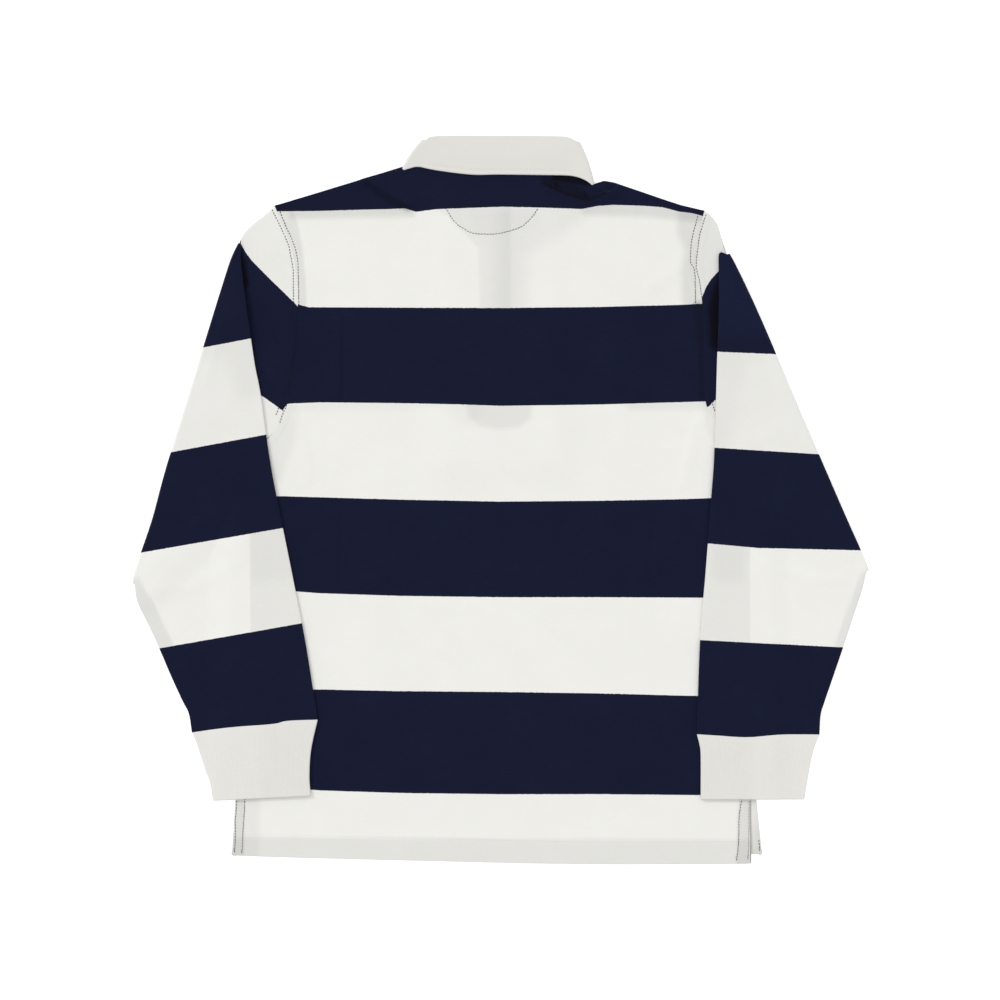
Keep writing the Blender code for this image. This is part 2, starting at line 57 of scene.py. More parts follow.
# Cloth thicknesses, gaps and heights, as in the solids
JERSEY = 1.2
COLLAR_CLOTH = 1.5
RIB = 1.6
GAP = 0.3
BACK_ABOVE_FRONT = JERSEY + GAP
TWO_LAYERS = 2 * JERSEY + GAP
FOLD_RADIUS = 0.3
FOLDED_HEIGHT = TWO_LAYERS + 2 * FOLD_RADIUS
BUTTON_THICK = 2.0
BUTTON_PLACES = ((1.8, 273), (1.8, 200), (1.8, 127))
PLACKET_BASE = BUTTON_THICK + GAP
LEAF_LIFT = COLLAR_CLOTH + GAP
PLACKET_LIFT = PLACKET_BASE + JERSEY + GAP
# The back's slack over the front, and the mean height of its soft waves
SLACK = 1.1
PUFF = 0.9
# How high each folded sleeve lifts round its lift_centre, and how far from there the lift reaches
EDGE_LIFT = 4.0
EDGE_LIFT_RADIUS = 62.0
# The width of a band, from one change of colour to the next
STRIPE = 101.2
CUFF_LENGTH = 66.0
# The rise of the cloth over the seam allowances, and how far the collar's stitches lie from its edge
ALLOWANCE_RISE = 0.45
COLLAR_STITCHES_IN = 4.6

# Seams and edges of the body, each a list of (x, y)
SHOULDER_LEFT = ((-234.9, 307.9), (-134.1, 338.3), (-101.5, 348.4), (-94, 351))
SHOULDER_RIGHT = (
    (94.5, 332), (99.5, 330.4), (110.5, 333.9), (121, 332), (174.6, 313.8), (190.3, 308.7), (215.5, 302.6))
NECK_BACK = ((-94, 351), (-80, 351.8), (-61.7, 349), (0.3, 345.2), (64, 344), (86, 340), (94.5, 332))
NECK_FRONT_LEFT = ((-94, 351), (-78, 316), (-43, 295), (1.8, 289))
NECK_FRONT_RIGHT = ((1.8, 289), (46, 294), (80, 311), (94.5, 332))
ARMHOLE_LEFT = (
    (-250.7, 58.8), (-233.9, 73.5), (-224.4, 105), (-219.2, 136.5), (-213.9, 178.5), (-210.8, 204.8),
    (-211.8, 231), (-217.1, 262.5), (-225.5, 284.6), (-234.9, 307.7))
ARMHOLE_RIGHT = (
    (242.8, 63), (226, 84), (216.6, 105), (215.5, 157.5), (213.4, 204.8), (210.5, 222), (205, 243),
    (209.2, 267.8), (211.3, 283.5), (215.5, 302.4))
SIDE_LEFT = (
    (-279.6, -372.8), (-275.9, -315), (-270.6, -273), (-265.4, -157.5), (-261.2, -63), (-250.7, 58.8))
SIDE_RIGHT = (
    (264, -379.6), (264, -315), (265.9, -299.2), (266.4, -252), (263.8, -147), (261.7, -63), (242.8, 63))
SIDE_RIGHT_FRONT = (
    (275.9, -371.7), (269.9, -315), (265.9, -299.2), (266.4, -252), (263.8, -147), (261.7, -63),
    (242.8, 63))
HEM_BACK = ((-279.6, -372.8), (-201.3, -375.4), (63.3, -381.6), (246, -381.7), (264, -379.6))
HEM_FRONT = ((-279.6, -372.8), (0, -374.5), (275.9, -371.7))

# Where the bands of the body change colour, from the neck to the hem, each a run of (x, y).
# The first is the lower edge of the navy yoke, and white and navy take turns below it.
BODY_BANDS = (
    (
        (-235, 302.2), (-187, 302.8), (-146, 303.9), (-119, 304.5), (-98, 305.2), (-87, 301.6),
        (-66, 304.2), (4, 306.8), (43, 305.9), (87.5, 304.6), (104, 307.9), (120, 308.9), (152, 308.1),
        (172, 306.6), (188, 302.4), (202.6, 300.4), (216, 296.9)),
    (
        (-212, 205.2), (-207, 203.8), (-199, 201.8), (-104, 201.2), (1, 200.6), (106, 201.9), (190, 204.3),
        (216, 205.7)),
    (
        (-229, 90), (-226, 93.7), (-223.6, 99.3), (-219.6, 100.7), (-187, 102), (-104, 101.1), (-40, 99.6),
        (1, 98.2), (60, 98.9), (106, 99.7), (190, 102.2), (226, 103.2)),
    ((-232, 3.7), (-187, 2.4), (-104, 0), (1, -2.1), (106, -1.2), (190, 0.4), (223, 1.6)),
    ((-213, -96.4), (-187, -98.3), (-104, -101), (1, -102.4), (106, -102.4), (214, -103)),
    ((-193, -199.1), (-104, -200.8), (1, -201.6), (106, -203.2), (190, -205.6), (210, -206)),
    ((-198, -304.3), (-187, -305.2), (-104, -307.8), (1, -309.1), (106, -309), (213, -310.2)),
    ((-280, -404), (262, -409)),
)
# The front's bands meet the back's at the side seams, and run straight between them
FRONT_BANDS = (
    ((-235, 306), (216, 304)),
    ((-211, 205), (215, 205)),
    ((-224, 104), (224, 104)),
    ((-224, 3), (224, 2)),
    ((-209, -97), (222, -100)),
    ((-265, -198), (265, -203)),
    ((-270, -300), (266, -306)),
    ((-280, -404), (275, -407)),
)

# Each sleeve: its fold, the top edge by the shoulder (cap), the edges of the folded part and of the
# cuff, and where its bands change colour, on the part by the armhole (near) and on the folded part
SLEEVES = {
    "left": {
        "armhole": ARMHOLE_LEFT,
        "cap": (
            (-234.9, 307.7), (-244.4, 299.8), (-254.9, 291.4), (-264.3, 283), (-269.5, 275.5),
            (-270.3, 268.2)),
        "fold": (
            (-273.2, 269.1), (-281.2, 252), (-291.4, 220.5), (-304.4, 178.5), (-327, 105), (-349.6, 31.5),
            (-363.8, -21), (-378.2, -63), (-382.8, -77), (-384.6, -88)),
        "inner_edge": (
            (-273.2, 269.1), (-273.3, 254), (-270.6, 236), (-266, 208.8), (-261.8, 184), (-255.7, 141.8),
            (-249.5, 109.7), (-238.2, 31.5), (-217.4, -73.5), (-203.1, -147), (-189.8, -231)),
        "outer_edge": (
            (-384.6, -88), (-380.4, -105), (-360.4, -147), (-342.2, -189), (-331.5, -212),
            (-325.3, -224.7), (-322, -244.7)),
        "cuff_inner": ((-189.8, -231), (-196.6, -262), (-198.4, -290), (-197, -309.8)),
        "cuff_outer": ((-322, -244.7), (-316.8, -257), (-308.6, -282), (-303, -297), (-300, -315)),
        "seam_wave": ((0, 0), (0.24, 2), (0.36, 0.3), (0.7, 1.4), (1, 0)),
        "lift_centre": (-262, 200),
        "near_bands": (
            ((-212.9, 204.9), (-243.7, 235), (-258.6, 250.2), (-264.5, 257.8), (-275, 276)),
            ((-226.4, 93.5), (-249.5, 109.7), (-308.4, 160.7)),
            ((-260.1, -27.3), (-344.1, 48.3)),
            ((-309.5, -111.3), (-372.5, -54.6)),
            ((-341, -222), (-404.5, -165)),
            ((-373, -347), (-436.5, -290)),
        ),
        "far_bands": (
            ((-290, 278), (-240, 288)),
            ((-309.5, 159.3), (-259.8, 168.6)),
            ((-344.1, 49.5), (-243.6, 68.2)),
            ((-373.1, -55.3), (-226.8, -29.9)),
            ((-354.9, -155.8), (-207, -129.6)),
            ((-330, -262), (-180, -236)),
        ),
    },
    "right": {
        "armhole": ARMHOLE_RIGHT,
        "cap": (
            (215.5, 302.4), (220.2, 300.3), (227.6, 291.9), (231.3, 283.5), (234.4, 270.9), (236.5, 263.5),
            (239.5, 257.1)),
        "fold": (
            (242.3, 258.3), (246.8, 249.9), (261.2, 220.5), (280.1, 178.5), (311.3, 105), (342.9, 31.5),
            (365.7, -21), (383.6, -61), (388.4, -74)),
        "inner_edge": (
            (242.3, 258.3), (238, 259.9), (234, 260.2), (232.9, 252), (232.4, 235), (229.3, 163.3),
            (226.2, 53.6), (222.8, 2.5), (217, -73.5), (211.1, -147), (207.6, -246.3)),
        "outer_edge": (
            (388.4, -74), (385, -85), (378, -105), (364.2, -147), (349.9, -189), (342, -212),
            (337.9, -226), (336.6, -246.8)),
        "cuff_inner": ((207.6, -246.3), (210.4, -257), (211.6, -269), (211.6, -313.5)),
        "cuff_outer": ((336.6, -246.8), (330.5, -262.5), (326.3, -281.4), (323.1, -300.3), (321, -313.9)),
        "seam_wave": ((0, 0), (0.17, -1.3), (0.41, -2.9), (0.68, -0.2), (1, 0)),
        "lift_centre": (232, 190),
        "near_bands": (
            ((212, 208.5), (217.4, 222.8), (222.7, 230.9), (232.1, 241.4), (245, 254)),
            ((226, 104), (292.2, 160)),
            ((268.5, -32.6), (336.3, 47.8)),
            ((327.9, -109.2), (375.1, -53.6)),
            ((363, -212), (411, -157)),
            ((399, -318), (447, -262)),
        ),
        "far_bands": (
            ((225, 275), (260, 272)),
            ((229.4, 154.8), (291, 152.2)),
            ((227.3, 54.3), (335.2, 47.6)),
            ((219.5, -46), (272.3, -50.8), (378.1, -53.2)),
            ((211.5, -147.2), (360.6, -155)),
            ((204, -252), (350, -258)),
        ),
    },
}

# The collar's roll line and its outer edge, on the back and on the two leaves under the front
COLLAR_OUTSIDE = 2 * COLLAR_CLOTH + 2 * GAP + TWO_LAYERS
ROLL_BACK = ((-80.6, 377.8), (-64.8, 380.6), (-2.9, 380.9), (60, 380.4), (74, 379), (85.2, 375.4))
EDGE_BACK = (
    (-101.5, 347.6), (-86, 349.4), (-76.3, 347.8), (-65.6, 345.7), (-41.4, 342.4), (-22.7, 340.9),
    (1, 341.2), (50, 340.6), (76, 339.8), (90, 335.6), (100.5, 331.2))
ROLL_LEAF_LEFT = ((-80.6, 377.8), (-60, 350), (-30, 325), (0.8, 315))
EDGE_LEAF_LEFT = ((-101.5, 347.6), (-92.1, 302.4), (-55, 281), (-23.9, 266.7))
ROLL_LEAF_RIGHT = ((85.2, 375.4), (66, 348), (34, 325), (2.8, 315))
EDGE_LEAF_RIGHT = ((100.5, 331.2), (101.1, 302.4), (64, 274), (27.6, 249.9))
BAND_SHARE_OF_FALL = 0.80

PLACKET_WIDTH = 45.0
PLACKET_TOP = 288.0
PLACKET_BOTTOM = 73.5
PLACKET_CENTRE = 1.8

# The twin rows of navy thread at each armhole, and the other sewn lines that show on the back
ARMHOLE_STITCHES = {
    "left_outer": (
        (-238.1, 304.5), (-227.6, 283.5), (-220.2, 265.1), (-217.1, 248.9), (-215.6, 238.4),
        (-215.3, 205.8)),
    "left_inner": (
        (-229.7, 302.4), (-222.3, 284.6), (-216, 270.9), (-211.3, 254.1), (-210.4, 238.4), (-209.7, 205.8)),
    "left_outer_low": ((-215.3, 205.8), (-217.5, 180), (-223, 136.5), (-228, 105), (-234, 88)),
    "left_inner_low": (
        (-209.7, 205.8), (-211, 178.5), (-216.5, 136.5), (-221.5, 103), (-226.5, 90), (-229.7, 79.8)),
    "right_outer": (
        (217.4, 299.2), (211.1, 278.2), (208.4, 259.4), (207.1, 243.6), (210.3, 231), (212.9, 213.2),
        (215.8, 190), (218.5, 157.5), (219.5, 118), (223.9, 102.4), (226.5, 92)),
    "right_inner": (
        (208.9, 297.7), (202.9, 274.1), (201.1, 256.2), (201.7, 247.8), (205.6, 239.4), (206.6, 206.3),
        (209.5, 180), (212.3, 150), (213, 112)),
}
HALF_MOON = (
    (-55.9, 305.9), (-44.9, 289.8), (-29.1, 279.8), (-14.4, 278.2), (1.3, 278.9), (23.4, 285.6),
    (36, 297.2), (40.7, 305))
VENT_STITCHES = {
    "left_outer": ((-274.6, -313), (-276.2, -336), (-276.4, -357), (-277.4, -370.7)),
    "left_inner": ((-266.1, -312.9), (-267, -327.6), (-268.5, -351.8), (-269.4, -371.7)),
    "right_inner": ((255.4, -312.9), (252.3, -330.8), (251.7, -357), (249.4, -379.1)),
    "right_outer": ((262.6, -316.1), (262.4, -346.5), (261.4, -377.5)),
    "front_corner": ((273, -357), (273.6, -363), (273.8, -369.6)),
}
HEM_BAND = 23.0


def smooth_step(value, start, end):
    """0 up to start and 1 from end, with a smooth run between."""
    t = np.clip((value - start) / (end - start), 0.0, 1.0)
    return t * t * (3.0 - 2.0 * t)


def lift(x, y):
    """How high the front lies above the floor, on the leaves, the placket and its buttons."""
    leaves = LEAF_LIFT * (1 - smooth_step(abs(x), 128, 200)) * smooth_step(y, 150, 215)
    placket = PLACKET_LIFT * (1 - smooth_step(abs(x - PLACKET_CENTRE), 50, 95))
    placket = placket * smooth_step(y, 0, 45) * (1 - smooth_step(y, 300, 345))
    return (leaves**6 + placket**6) ** (1 / 6)


def puff(x, y):
    """The soft rise and fall of the back where nothing lies on it, and its slack over the front."""
    window = (1 - smooth_step(abs(x), 110, 180)) * smooth_step(y, -350, -270)
    slack = SLACK * window * (1 - smooth_step(y, 316, 330))
    slack = slack * (1 - smooth_step(y, 240, 300) * smooth_step(abs(x), 75, 105))
    waves = 1 + 0.6 * np.sin(x / 41 + y / 95) * np.cos(y / 62 - x / 130)
    return slack + PUFF * window * (1 - smooth_step(y, 150, 240)) * waves


def back_height(x, y):
    """The underside of the back."""
    return lift(x, y) + BACK_ABOVE_FRONT + puff(x, y)


def even(fine, cells):
    """cells + 1 points at even distances along a run of straight stretches."""
    fine = np.asarray(fine, dtype=float)
    far = np.concatenate([[0], np.cumsum(np.linalg.norm(np.diff(fine, axis=0), axis=1))])
    at = np.linspace(0, far[-1], cells + 1)
    return np.stack([np.interp(at, far, fine[:, k]) for k in range(fine.shape[1])], axis=1)


def curve(points, cells):
    """cells + 1 points at even distances along a smooth curve through the given ones."""
    p = np.array(points, dtype=float)
    if len(p) == 2:
        return even(p, cells)
    padded = np.vstack([2 * p[0] - p[1], p, 2 * p[-1] - p[-2]])
    t = np.linspace(0, 1, 12, endpoint=False)[:, None]
    pieces = []
    for a, b, c, d in zip(padded, padded[1:], padded[2:], padded[3:]):
        pieces.append(0.5 * (2 * b + (c - a) * t + (2 * a - 5 * b + 4 * c - d) * t**2
                             + (3 * b - a - 3 * c + d) * t**3))
    return even(np.vstack(pieces + [p[-1:]]), cells)


def joined(*runs):
    """Runs of points that follow each other, with their shared ends once."""
    return np.vstack([runs[0]] + [run[1:] for run in runs[1:]])


def unit(vector):
    """Vectors of the same directions with length 1."""
    length = np.linalg.norm(vector, axis=-1, keepdims=True)
    return vector / np.maximum(length, 1e-9)


def frame_shift():
    """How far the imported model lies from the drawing's frame, read from the first button's place."""
    low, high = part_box("button_1")
    middle = (np.array(low) + np.array(high)) / 2
    return np.array([middle[0] - MM * BUTTON_PLACES[0][0], middle[1] - MM * BUTTON_PLACES[0][1], 0.0])


SHIFT = frame_shift()


def place(points):
    """Millimetres in the drawing's frame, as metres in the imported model's."""
    return MM * np.asarray(points, dtype=float) + SHIFT


def distance_outside(x, y, outline):
    """How far each point lies outside a closed outline, or 0 inside it."""
    outline = np.asarray(outline, dtype=float)
    shape = np.shape(x)
    points = np.stack([np.ravel(x), np.ravel(y)], axis=1)
    found = []
    start, along = outline, np.roll(outline, -1, axis=0) - outline
    for part in np.array_split(points, max(1, len(points) // 20000)):
        to_start = part[:, None] - start[None]
        share = np.clip((to_start * along).sum(-1) / np.maximum((along**2).sum(-1), 1e-9), 0, 1)
        near = np.linalg.norm(to_start - share[..., None] * along, axis=-1).min(axis=1)
        px, py = part[:, :1], part[:, 1:]
        spans = (start[:, 1] > py) != (start[:, 1] + along[:, 1] > py)
        rise = np.where(along[:, 1] == 0, 1e-9, along[:, 1])
        left = px < start[:, 0] + along[:, 0] * (py - start[:, 1]) / rise
        inside = (spans & left).sum(axis=1) % 2 == 1
        found.append(np.where(inside, 0.0, near))
    return np.concatenate(found).reshape(shape)


def along_path(x, y, path):
    """For each point: its signed distance to a path, left of it positive, and its place from 0 to 1."""
    path = np.asarray(path, dtype=float)
    start, run = path[:-1], np.diff(path, axis=0)
    lengths = np.linalg.norm(run, axis=1)
    before = np.concatenate([[0], np.cumsum(lengths)[:-1]])
    best = np.full(np.shape(x), 1e9)
    signed = np.zeros(np.shape(x))
    share = np.zeros(np.shape(x))
    for a, r, length, done in zip(start, run, lengths, before):
        tx, ty = x - a[0], y - a[1]
        t = np.clip((tx * r[0] + ty * r[1]) / length**2, 0, 1)
        distance = np.hypot(tx - t * r[0], ty - t * r[1])
        closer = distance < best
        best = np.where(closer, distance, best)
        signed = np.where(closer, distance * np.where(r[0] * ty - r[1] * tx >= 0, 1, -1), signed)
        share = np.where(closer, (done + t * length) / lengths.sum(), share)
    return signed, share


def ridge(x, y, path, height, left_width, right_width, ends=0.15):
    """A soft ridge along a path, with its own width on each side, that fades at both ends."""
    signed, share = along_path(x, y, path)
    width = np.where(signed >= 0, left_width, right_width)
    fade = smooth_step(share, 0, ends) * (1 - smooth_step(share, 1 - ends, 1))
    return height * fade * np.exp(-((signed / width) ** 2))


def places_of(depths, first):
    """The place among the bands: first on the first change of colour, and 1 more on each other."""
    found = first + depths[0] / STRIPE
    for number, (depth, following) in enumerate(zip(depths, depths[1:])):
        between = depth / np.maximum(depth - following, 1e-6)
        found = np.where(depth >= 0, first + number + between, found)
    return found


def band_places(x, y, bands):
    """Where each point lies among bands that run across the body."""
    return places_of([np.interp(x, *np.array(run, dtype=float).T) - y for run in bands], 0)


def line_places(x, y, lines):
    """Where each point lies among bands that run in any direction."""
    depths = []
    for line in lines:
        line = np.array(line)
        course = unit(line[-1] - line[0])
        normal = np.array((course[1], -course[0]))
        if normal[1] > 0:
            normal = -normal
        along = (x - line[0][0]) * course[0] + (y - line[0][1]) * course[1]
        bend = np.interp(along, (line - line[0]) @ course, (line - line[0]) @ normal)
        depths.append((x - line[0][0]) * normal[0] + (y - line[0][1]) * normal[1] - bend)
    return places_of(depths, 1)


def border_of(rows, columns):
    """The indices round a grid's border, once round."""
    loop = [(0, j) for j in range(columns - 1)]
    loop += [(i, columns - 1) for i in range(rows - 1)]
    loop += [(rows - 1, j) for j in range(columns - 1, 0, -1)]
    loop += [(i, 0) for i in range(rows - 1, 0, -1)]
    return loop


def new_object(name, points, faces, look, fields=None):
    """An object of these points in millimetres, with a number or a vector of its own at each."""
    mesh = bpy.data.meshes.new(name)
    mesh.from_pydata(place(points).tolist(), [], faces)
    for field, values in (fields or {}).items():
        values = np.asarray(values, dtype=np.float32)
        if values.ndim == 1:
            mesh.attributes.new(field, "FLOAT", "POINT").data.foreach_set("value", values)
        else:
            values = np.column_stack([values, np.zeros(len(values), np.float32)]).ravel()
            mesh.attributes.new(field, "FLOAT_VECTOR", "POINT").data.foreach_set("vector", values)
    mesh.materials.append(look)
    mesh.shade_smooth()
    made = bpy.data.objects.new(name, mesh)
    bpy.context.scene.collection.objects.link(made)
    return made


def facing_out(points, faces):
    """True if the faces look out of the body that they close."""
    first, second, third = (points[[face[k] for face in faces]] for k in range(3))
    return (first * np.cross(second, third)).sum() > 0


def narrow_edges(grid, fields, tube, reach=0.4):
    """Move the line of points beside each free edge close to it, so that the turned edge stays crisp."""
    pairs = [(np.s_[0], np.s_[1]), (np.s_[-1], np.s_[-2])]
    if not tube:
        pairs += [(np.s_[:, 0], np.s_[:, 1]), (np.s_[:, -1], np.s_[:, -2])]
    for edge, beside in pairs:
        length = np.linalg.norm(grid[beside] - grid[edge], axis=-1)
        share = np.minimum(1, reach / np.maximum(length, 1e-6))
        grid[beside] = grid[edge] + share[..., None] * (grid[beside] - grid[edge])
        for values in fields.values():
            part = share[..., None] if values.ndim == 3 else share
            values[beside] = values[edge] + part * (values[beside] - values[edge])


def shell(name, outer, inner, fields, look, step=4, tube=False):
    """A wall of cloth: a fine outer surface, a coarser inner one, and a rounded edge between.

    outer and inner are grids of points, and step says how many fine cells an inner cell spans.
    A tube's columns close into a ring.
    """
    narrow_edges(outer, fields, tube)
    rows, columns = outer.shape[:2]
    coarse = inner[::step, ::step]
    coarse_rows, coarse_columns = coarse.shape[:2]
    number = np.arange(rows * columns).reshape(rows, columns)

    def quads(grid):
        if tube:
            grid = np.column_stack([grid, grid[:, 0]])
        cells = np.stack([grid[:-1, :-1], grid[:-1, 1:], grid[1:, 1:], grid[1:, :-1]], axis=-1)
        return cells.reshape(-1, 4)

    if tube:
        loops = [[(0, j) for j in range(columns)],
                 [(rows - 1, -j % columns) for j in range(columns)]]
    else:
        loops = [border_of(rows, columns)]
    outwards = np.zeros_like(outer)
    outwards[0] += unit(outer[0] - outer[1])
    outwards[-1] += unit(outer[-1] - outer[-2])
    if not tube:
        outwards[:, 0] += unit(outer[:, 0] - outer[:, 1])
        outwards[:, -1] += unit(outer[:, -1] - outer[:, -2])
    thick = np.linalg.norm(outer - inner, axis=-1, keepdims=True)
    middle = 0.5 * (outer + inner) + 0.45 * thick * unit(outwards)

    picked = [at for loop in loops for at in loop]
    rim = np.array([middle[at] for at in picked])
    points = np.vstack([outer.reshape(-1, 3), rim, coarse.reshape(-1, 3)])
    start = rows * columns
    inner_number = start + len(rim) + np.arange(coarse_rows * coarse_columns).reshape(coarse_rows, -1)
    faces = quads(number).tolist() + quads(inner_number)[:, ::-1].tolist()
    for loop in loops:
        length = len(loop)
        for k in range(length):
            following = (k + 1) % length
            faces.append([int(number[loop[following]]), int(number[loop[k]]), start + k, start + following])
        for k in range(0, length, step):
            near = inner_number[loop[k][0] // step, loop[k][1] // step]
            after = loop[(k + step) % length]
            far = inner_number[after[0] // step, after[1] // step]
            mids = [start + (k + m) % length for m in range(step, -1, -1)]
            faces.append(mids + [int(near), int(far)])
        start += length
    if not facing_out(points, faces):
        faces = [face[::-1] for face in faces]
    spread = {}
    for field, values in fields.items():
        flat = values.reshape(rows * columns, -1)
        edge = np.array([values[at] for at in picked]).reshape(len(picked), -1)
        low = values[::step, ::step].reshape(coarse_rows * coarse_columns, -1)
        spread[field] = np.squeeze(np.vstack([flat, edge, low]))
    return new_object(name, points, faces, look, spread)


def coons(left, right, bottom, top):
    """Plan points that fill four border runs: rows from bottom to top, columns from left to right."""
    v = np.linspace(0, 1, len(left))[:, None, None]
    share = np.concatenate([[0], np.cumsum(np.linalg.norm(np.diff(top, axis=0), axis=1))])
    u = (share / share[-1])[None, :, None]
    across = (1 - u) * left[:, None] + u * right[:, None]
    down = (1 - v) * bottom[None] + v * top[None]
    corners = (1 - u) * (1 - v) * left[0] + u * (1 - v) * right[0] + (1 - u) * v * left[-1]
    return across + down - corners - u * v * right[-1]


SIDE_ROWS, ARMHOLE_ROWS = 160, 120
SHOULDER_COLUMNS, NECK_COLUMNS = 80, 84


def body_borders():
    """The borders of the back and the front, from left to right and from the hem up."""
    left = joined(curve(SIDE_LEFT, SIDE_ROWS), curve(ARMHOLE_LEFT, ARMHOLE_ROWS))
    right = joined(curve(SIDE_RIGHT, SIDE_ROWS), curve(ARMHOLE_RIGHT, ARMHOLE_ROWS))
    right_front = joined(curve(SIDE_RIGHT_FRONT, SIDE_ROWS), curve(ARMHOLE_RIGHT, ARMHOLE_ROWS))
    half = NECK_COLUMNS // 2
    shoulder_left = even(SHOULDER_LEFT, SHOULDER_COLUMNS)
    shoulder_right = even(SHOULDER_RIGHT, SHOULDER_COLUMNS)
    neck_front = joined(curve(NECK_FRONT_LEFT, half), curve(NECK_FRONT_RIGHT, half))
    columns = 2 * SHOULDER_COLUMNS + NECK_COLUMNS
    return {
        "left": left,
        "right": right,
        "right_front": right_front,
        "top_back": joined(shoulder_left, curve(NECK_BACK, NECK_COLUMNS), shoulder_right),
        "top_front": joined(shoulder_left, neck_front, shoulder_right),
        "hem_back": curve(HEM_BACK, columns),
        "hem_front": curve(HEM_FRONT, columns),
    }


# Places where the cloth looks darker, because of what lies under it. Each row says what it is, how
# soft its edge is in millimetres, how much darker it is to the eye, and its outline.
BACK_SHADES = (
    ("left side of the neckline", 5, 0.036, (
        (-68, 308), (-52, 299), (-19, 265), (-17, 200), (10, 200), (10, 308))),
    ("right side of the neckline", 22, 0.036, (
        (10, 200), (18, 200), (20, 262), (58, 286), (78, 300), (78, 308), (10, 308))),
    ("middle of the neckline", 12, 0.012, (
        (-24, 296), (-6, 262), (-4, 200), (12, 200), (14, 262), (36, 296))),
    ("inside the half-moon", 2, 0.014, (
        (-54, 305), (-44, 291), (-29, 281), (-14, 279), (1, 280), (23, 286), (35, 297), (40, 305))),
    ("placket end", 9, 0.054, ((-30, 101), (-28, 90), (-17, 81), (2, 78), (20, 80), (29, 88), (31, 101))),
    ("left of the placket end", 14, 0.018, ((-58, 103), (-30, 84), (-20, 103))),
    ("left shoulder allowance", 9, 0.085, ((-215, 306), (-95, 309), (-92, 301), (-215, 299))),
    ("right shoulder allowance", 10, 0.085, ((92, 312), (212, 302), (212, 296), (150, 302), (92, 303))),
    ("left armhole allowance", 4.5, 0.06, (
        (-238, 306), (-227, 283), (-220, 265), (-217, 249), (-215, 204), (-204, 204), (-205, 231),
        (-208, 262), (-213, 289), (-220, 306))),
    ("right armhole allowance", 12, 0.078, (
        (194, 306), (193, 282), (201, 262), (198, 236), (199, 206), (208, 206), (207, 243), (212, 285),
        (219, 300))),
    ("left underarm", 12, 0.034, ((-236, 95), (-216, 92), (-220, 62), (-234, 26), (-242, 60))),
    ("right underarm", 8, 0.03, ((219, 102), (228, 103), (226, 66), (222, 76))),
    ("under the navy band, right", 9, 0.042, ((132, 105), (222, 106), (222, 98), (140, 98))),
    ("under the navy band, left", 9, 0.022, ((-215, 105), (-60, 105), (-80, 98), (-215, 97))),
    ("hem", 3, 0.052, ((-290, -355.5), (0, -357), (290, -358.5), (290, -390), (-290, -390))),
    ("left vent tape", 1.5, 0.048, ((-290, -300), (-266.5, -300), (-268.5, -390), (-290, -390))),
    ("left vent", 8, 0.034, ((-290, -300), (-254, -300), (-256, -390), (-290, -390))),
    ("right vent tape", 2, 0.075, ((253, -300), (290, -300), (290, -390), (250, -390))),
)
# Painted shade in hollows, creases and along seams, where little light reaches, in rows of the same kind,
# and dark on the navy as well
BACK_PAINTED_SHADE = (
    ("under the collar's right end", 2.5, 0.5, (
        (58, 341), (84, 340), (99, 334), (98, 330.5), (90, 330.5), (80, 334), (58, 336))),
    ("left part of the tuck", 4, 0.22, (
        (46, 337), (62, 336), (78, 332), (86, 323), (88, 317), (80, 318), (66, 323.5), (48, 331))),
    ("along the tuck", 1.6, 0.45, (
        (46, 333.2), (69, 322.4), (84, 317.2), (92.7, 315.4), (101, 318.1), (112, 322.2), (112, 321.2),
        (101, 316.5), (92.7, 313.6), (84, 315.2), (69, 320.4), (46, 331.4))),
    ("along the yoke's crease", 3.5, 0.14, (
        (-143, 334), (-139, 334), (-119, 321), (-104, 312), (-92, 305), (-95, 303.5), (-108, 309),
        (-124, 318.5))),
    ("press crease", 1.2, 0.1, ((-165, 188), (-164.2, 188), (-164.4, 103), (-165.2, 103))),
    ("along the left armhole seam", 4, 0.1, (
        (-216, 204), (-220, 150), (-226, 112), (-222, 112), (-215, 150), (-211, 204))),
    ("along the right armhole seam", 5, 0.14, (
        (213, 206), (216, 158), (217, 106), (213, 106), (211, 158), (207, 206))),
)
SLEEVE_SHADES = {
    "left": (
        ("on the body", 2, 0.042, ((-260, -20), (-150, 0), (-150, -250), (-258, -250))),
        ("over the body's navy", 16, 0.022, ((-254, -20), (-205, -10), (-200, -72), (-252, -78))),
        ("seam allowance", 3, 0.058, (
            (-390, -84), (-378, -84), (-363, -110), (-344, -150), (-331, -190), (-345, -205), (-366, -155))),
        ("upper white band", 6, 0.022, ((-330, 165), (-240, 175), (-240, 55), (-360, 30))),
        ("top of the upper white band", 26, 0.03, (
            (-312, 165), (-255, 172), (-252, 130), (-262, 120), (-276, 158))),
    ),
    "right": (
        ("on the body", 2.5, 0.042, ((262, -20), (190, -20), (190, -262), (262, -262))),
        ("over the body's navy", 16, 0.026, ((252, -44), (230, -44), (232, -78), (250, -78))),
        ("seam allowance", 3, 0.052, (
            (392, -72), (380, -80), (354, -152), (334, -240), (345, -240), (372, -140))),
        ("upper white band", 6, 0.022, ((215, 165), (300, 165), (345, 30), (215, 40))),
        ("inner side of the upper white band", 30, 0.024, (
            (215, 165), (262, 165), (240, 120), (226, 60), (215, 60))),
    ),
}
CUFF_SHADES = {
    "left": (("on the body", 22, 0.014, ((-238, -220), (-150, -220), (-150, -330), (-238, -330))),),
    "right": (("on the body", 22, 0.014, ((190, -240), (254, -240), (254, -330), (190, -330))),),
}
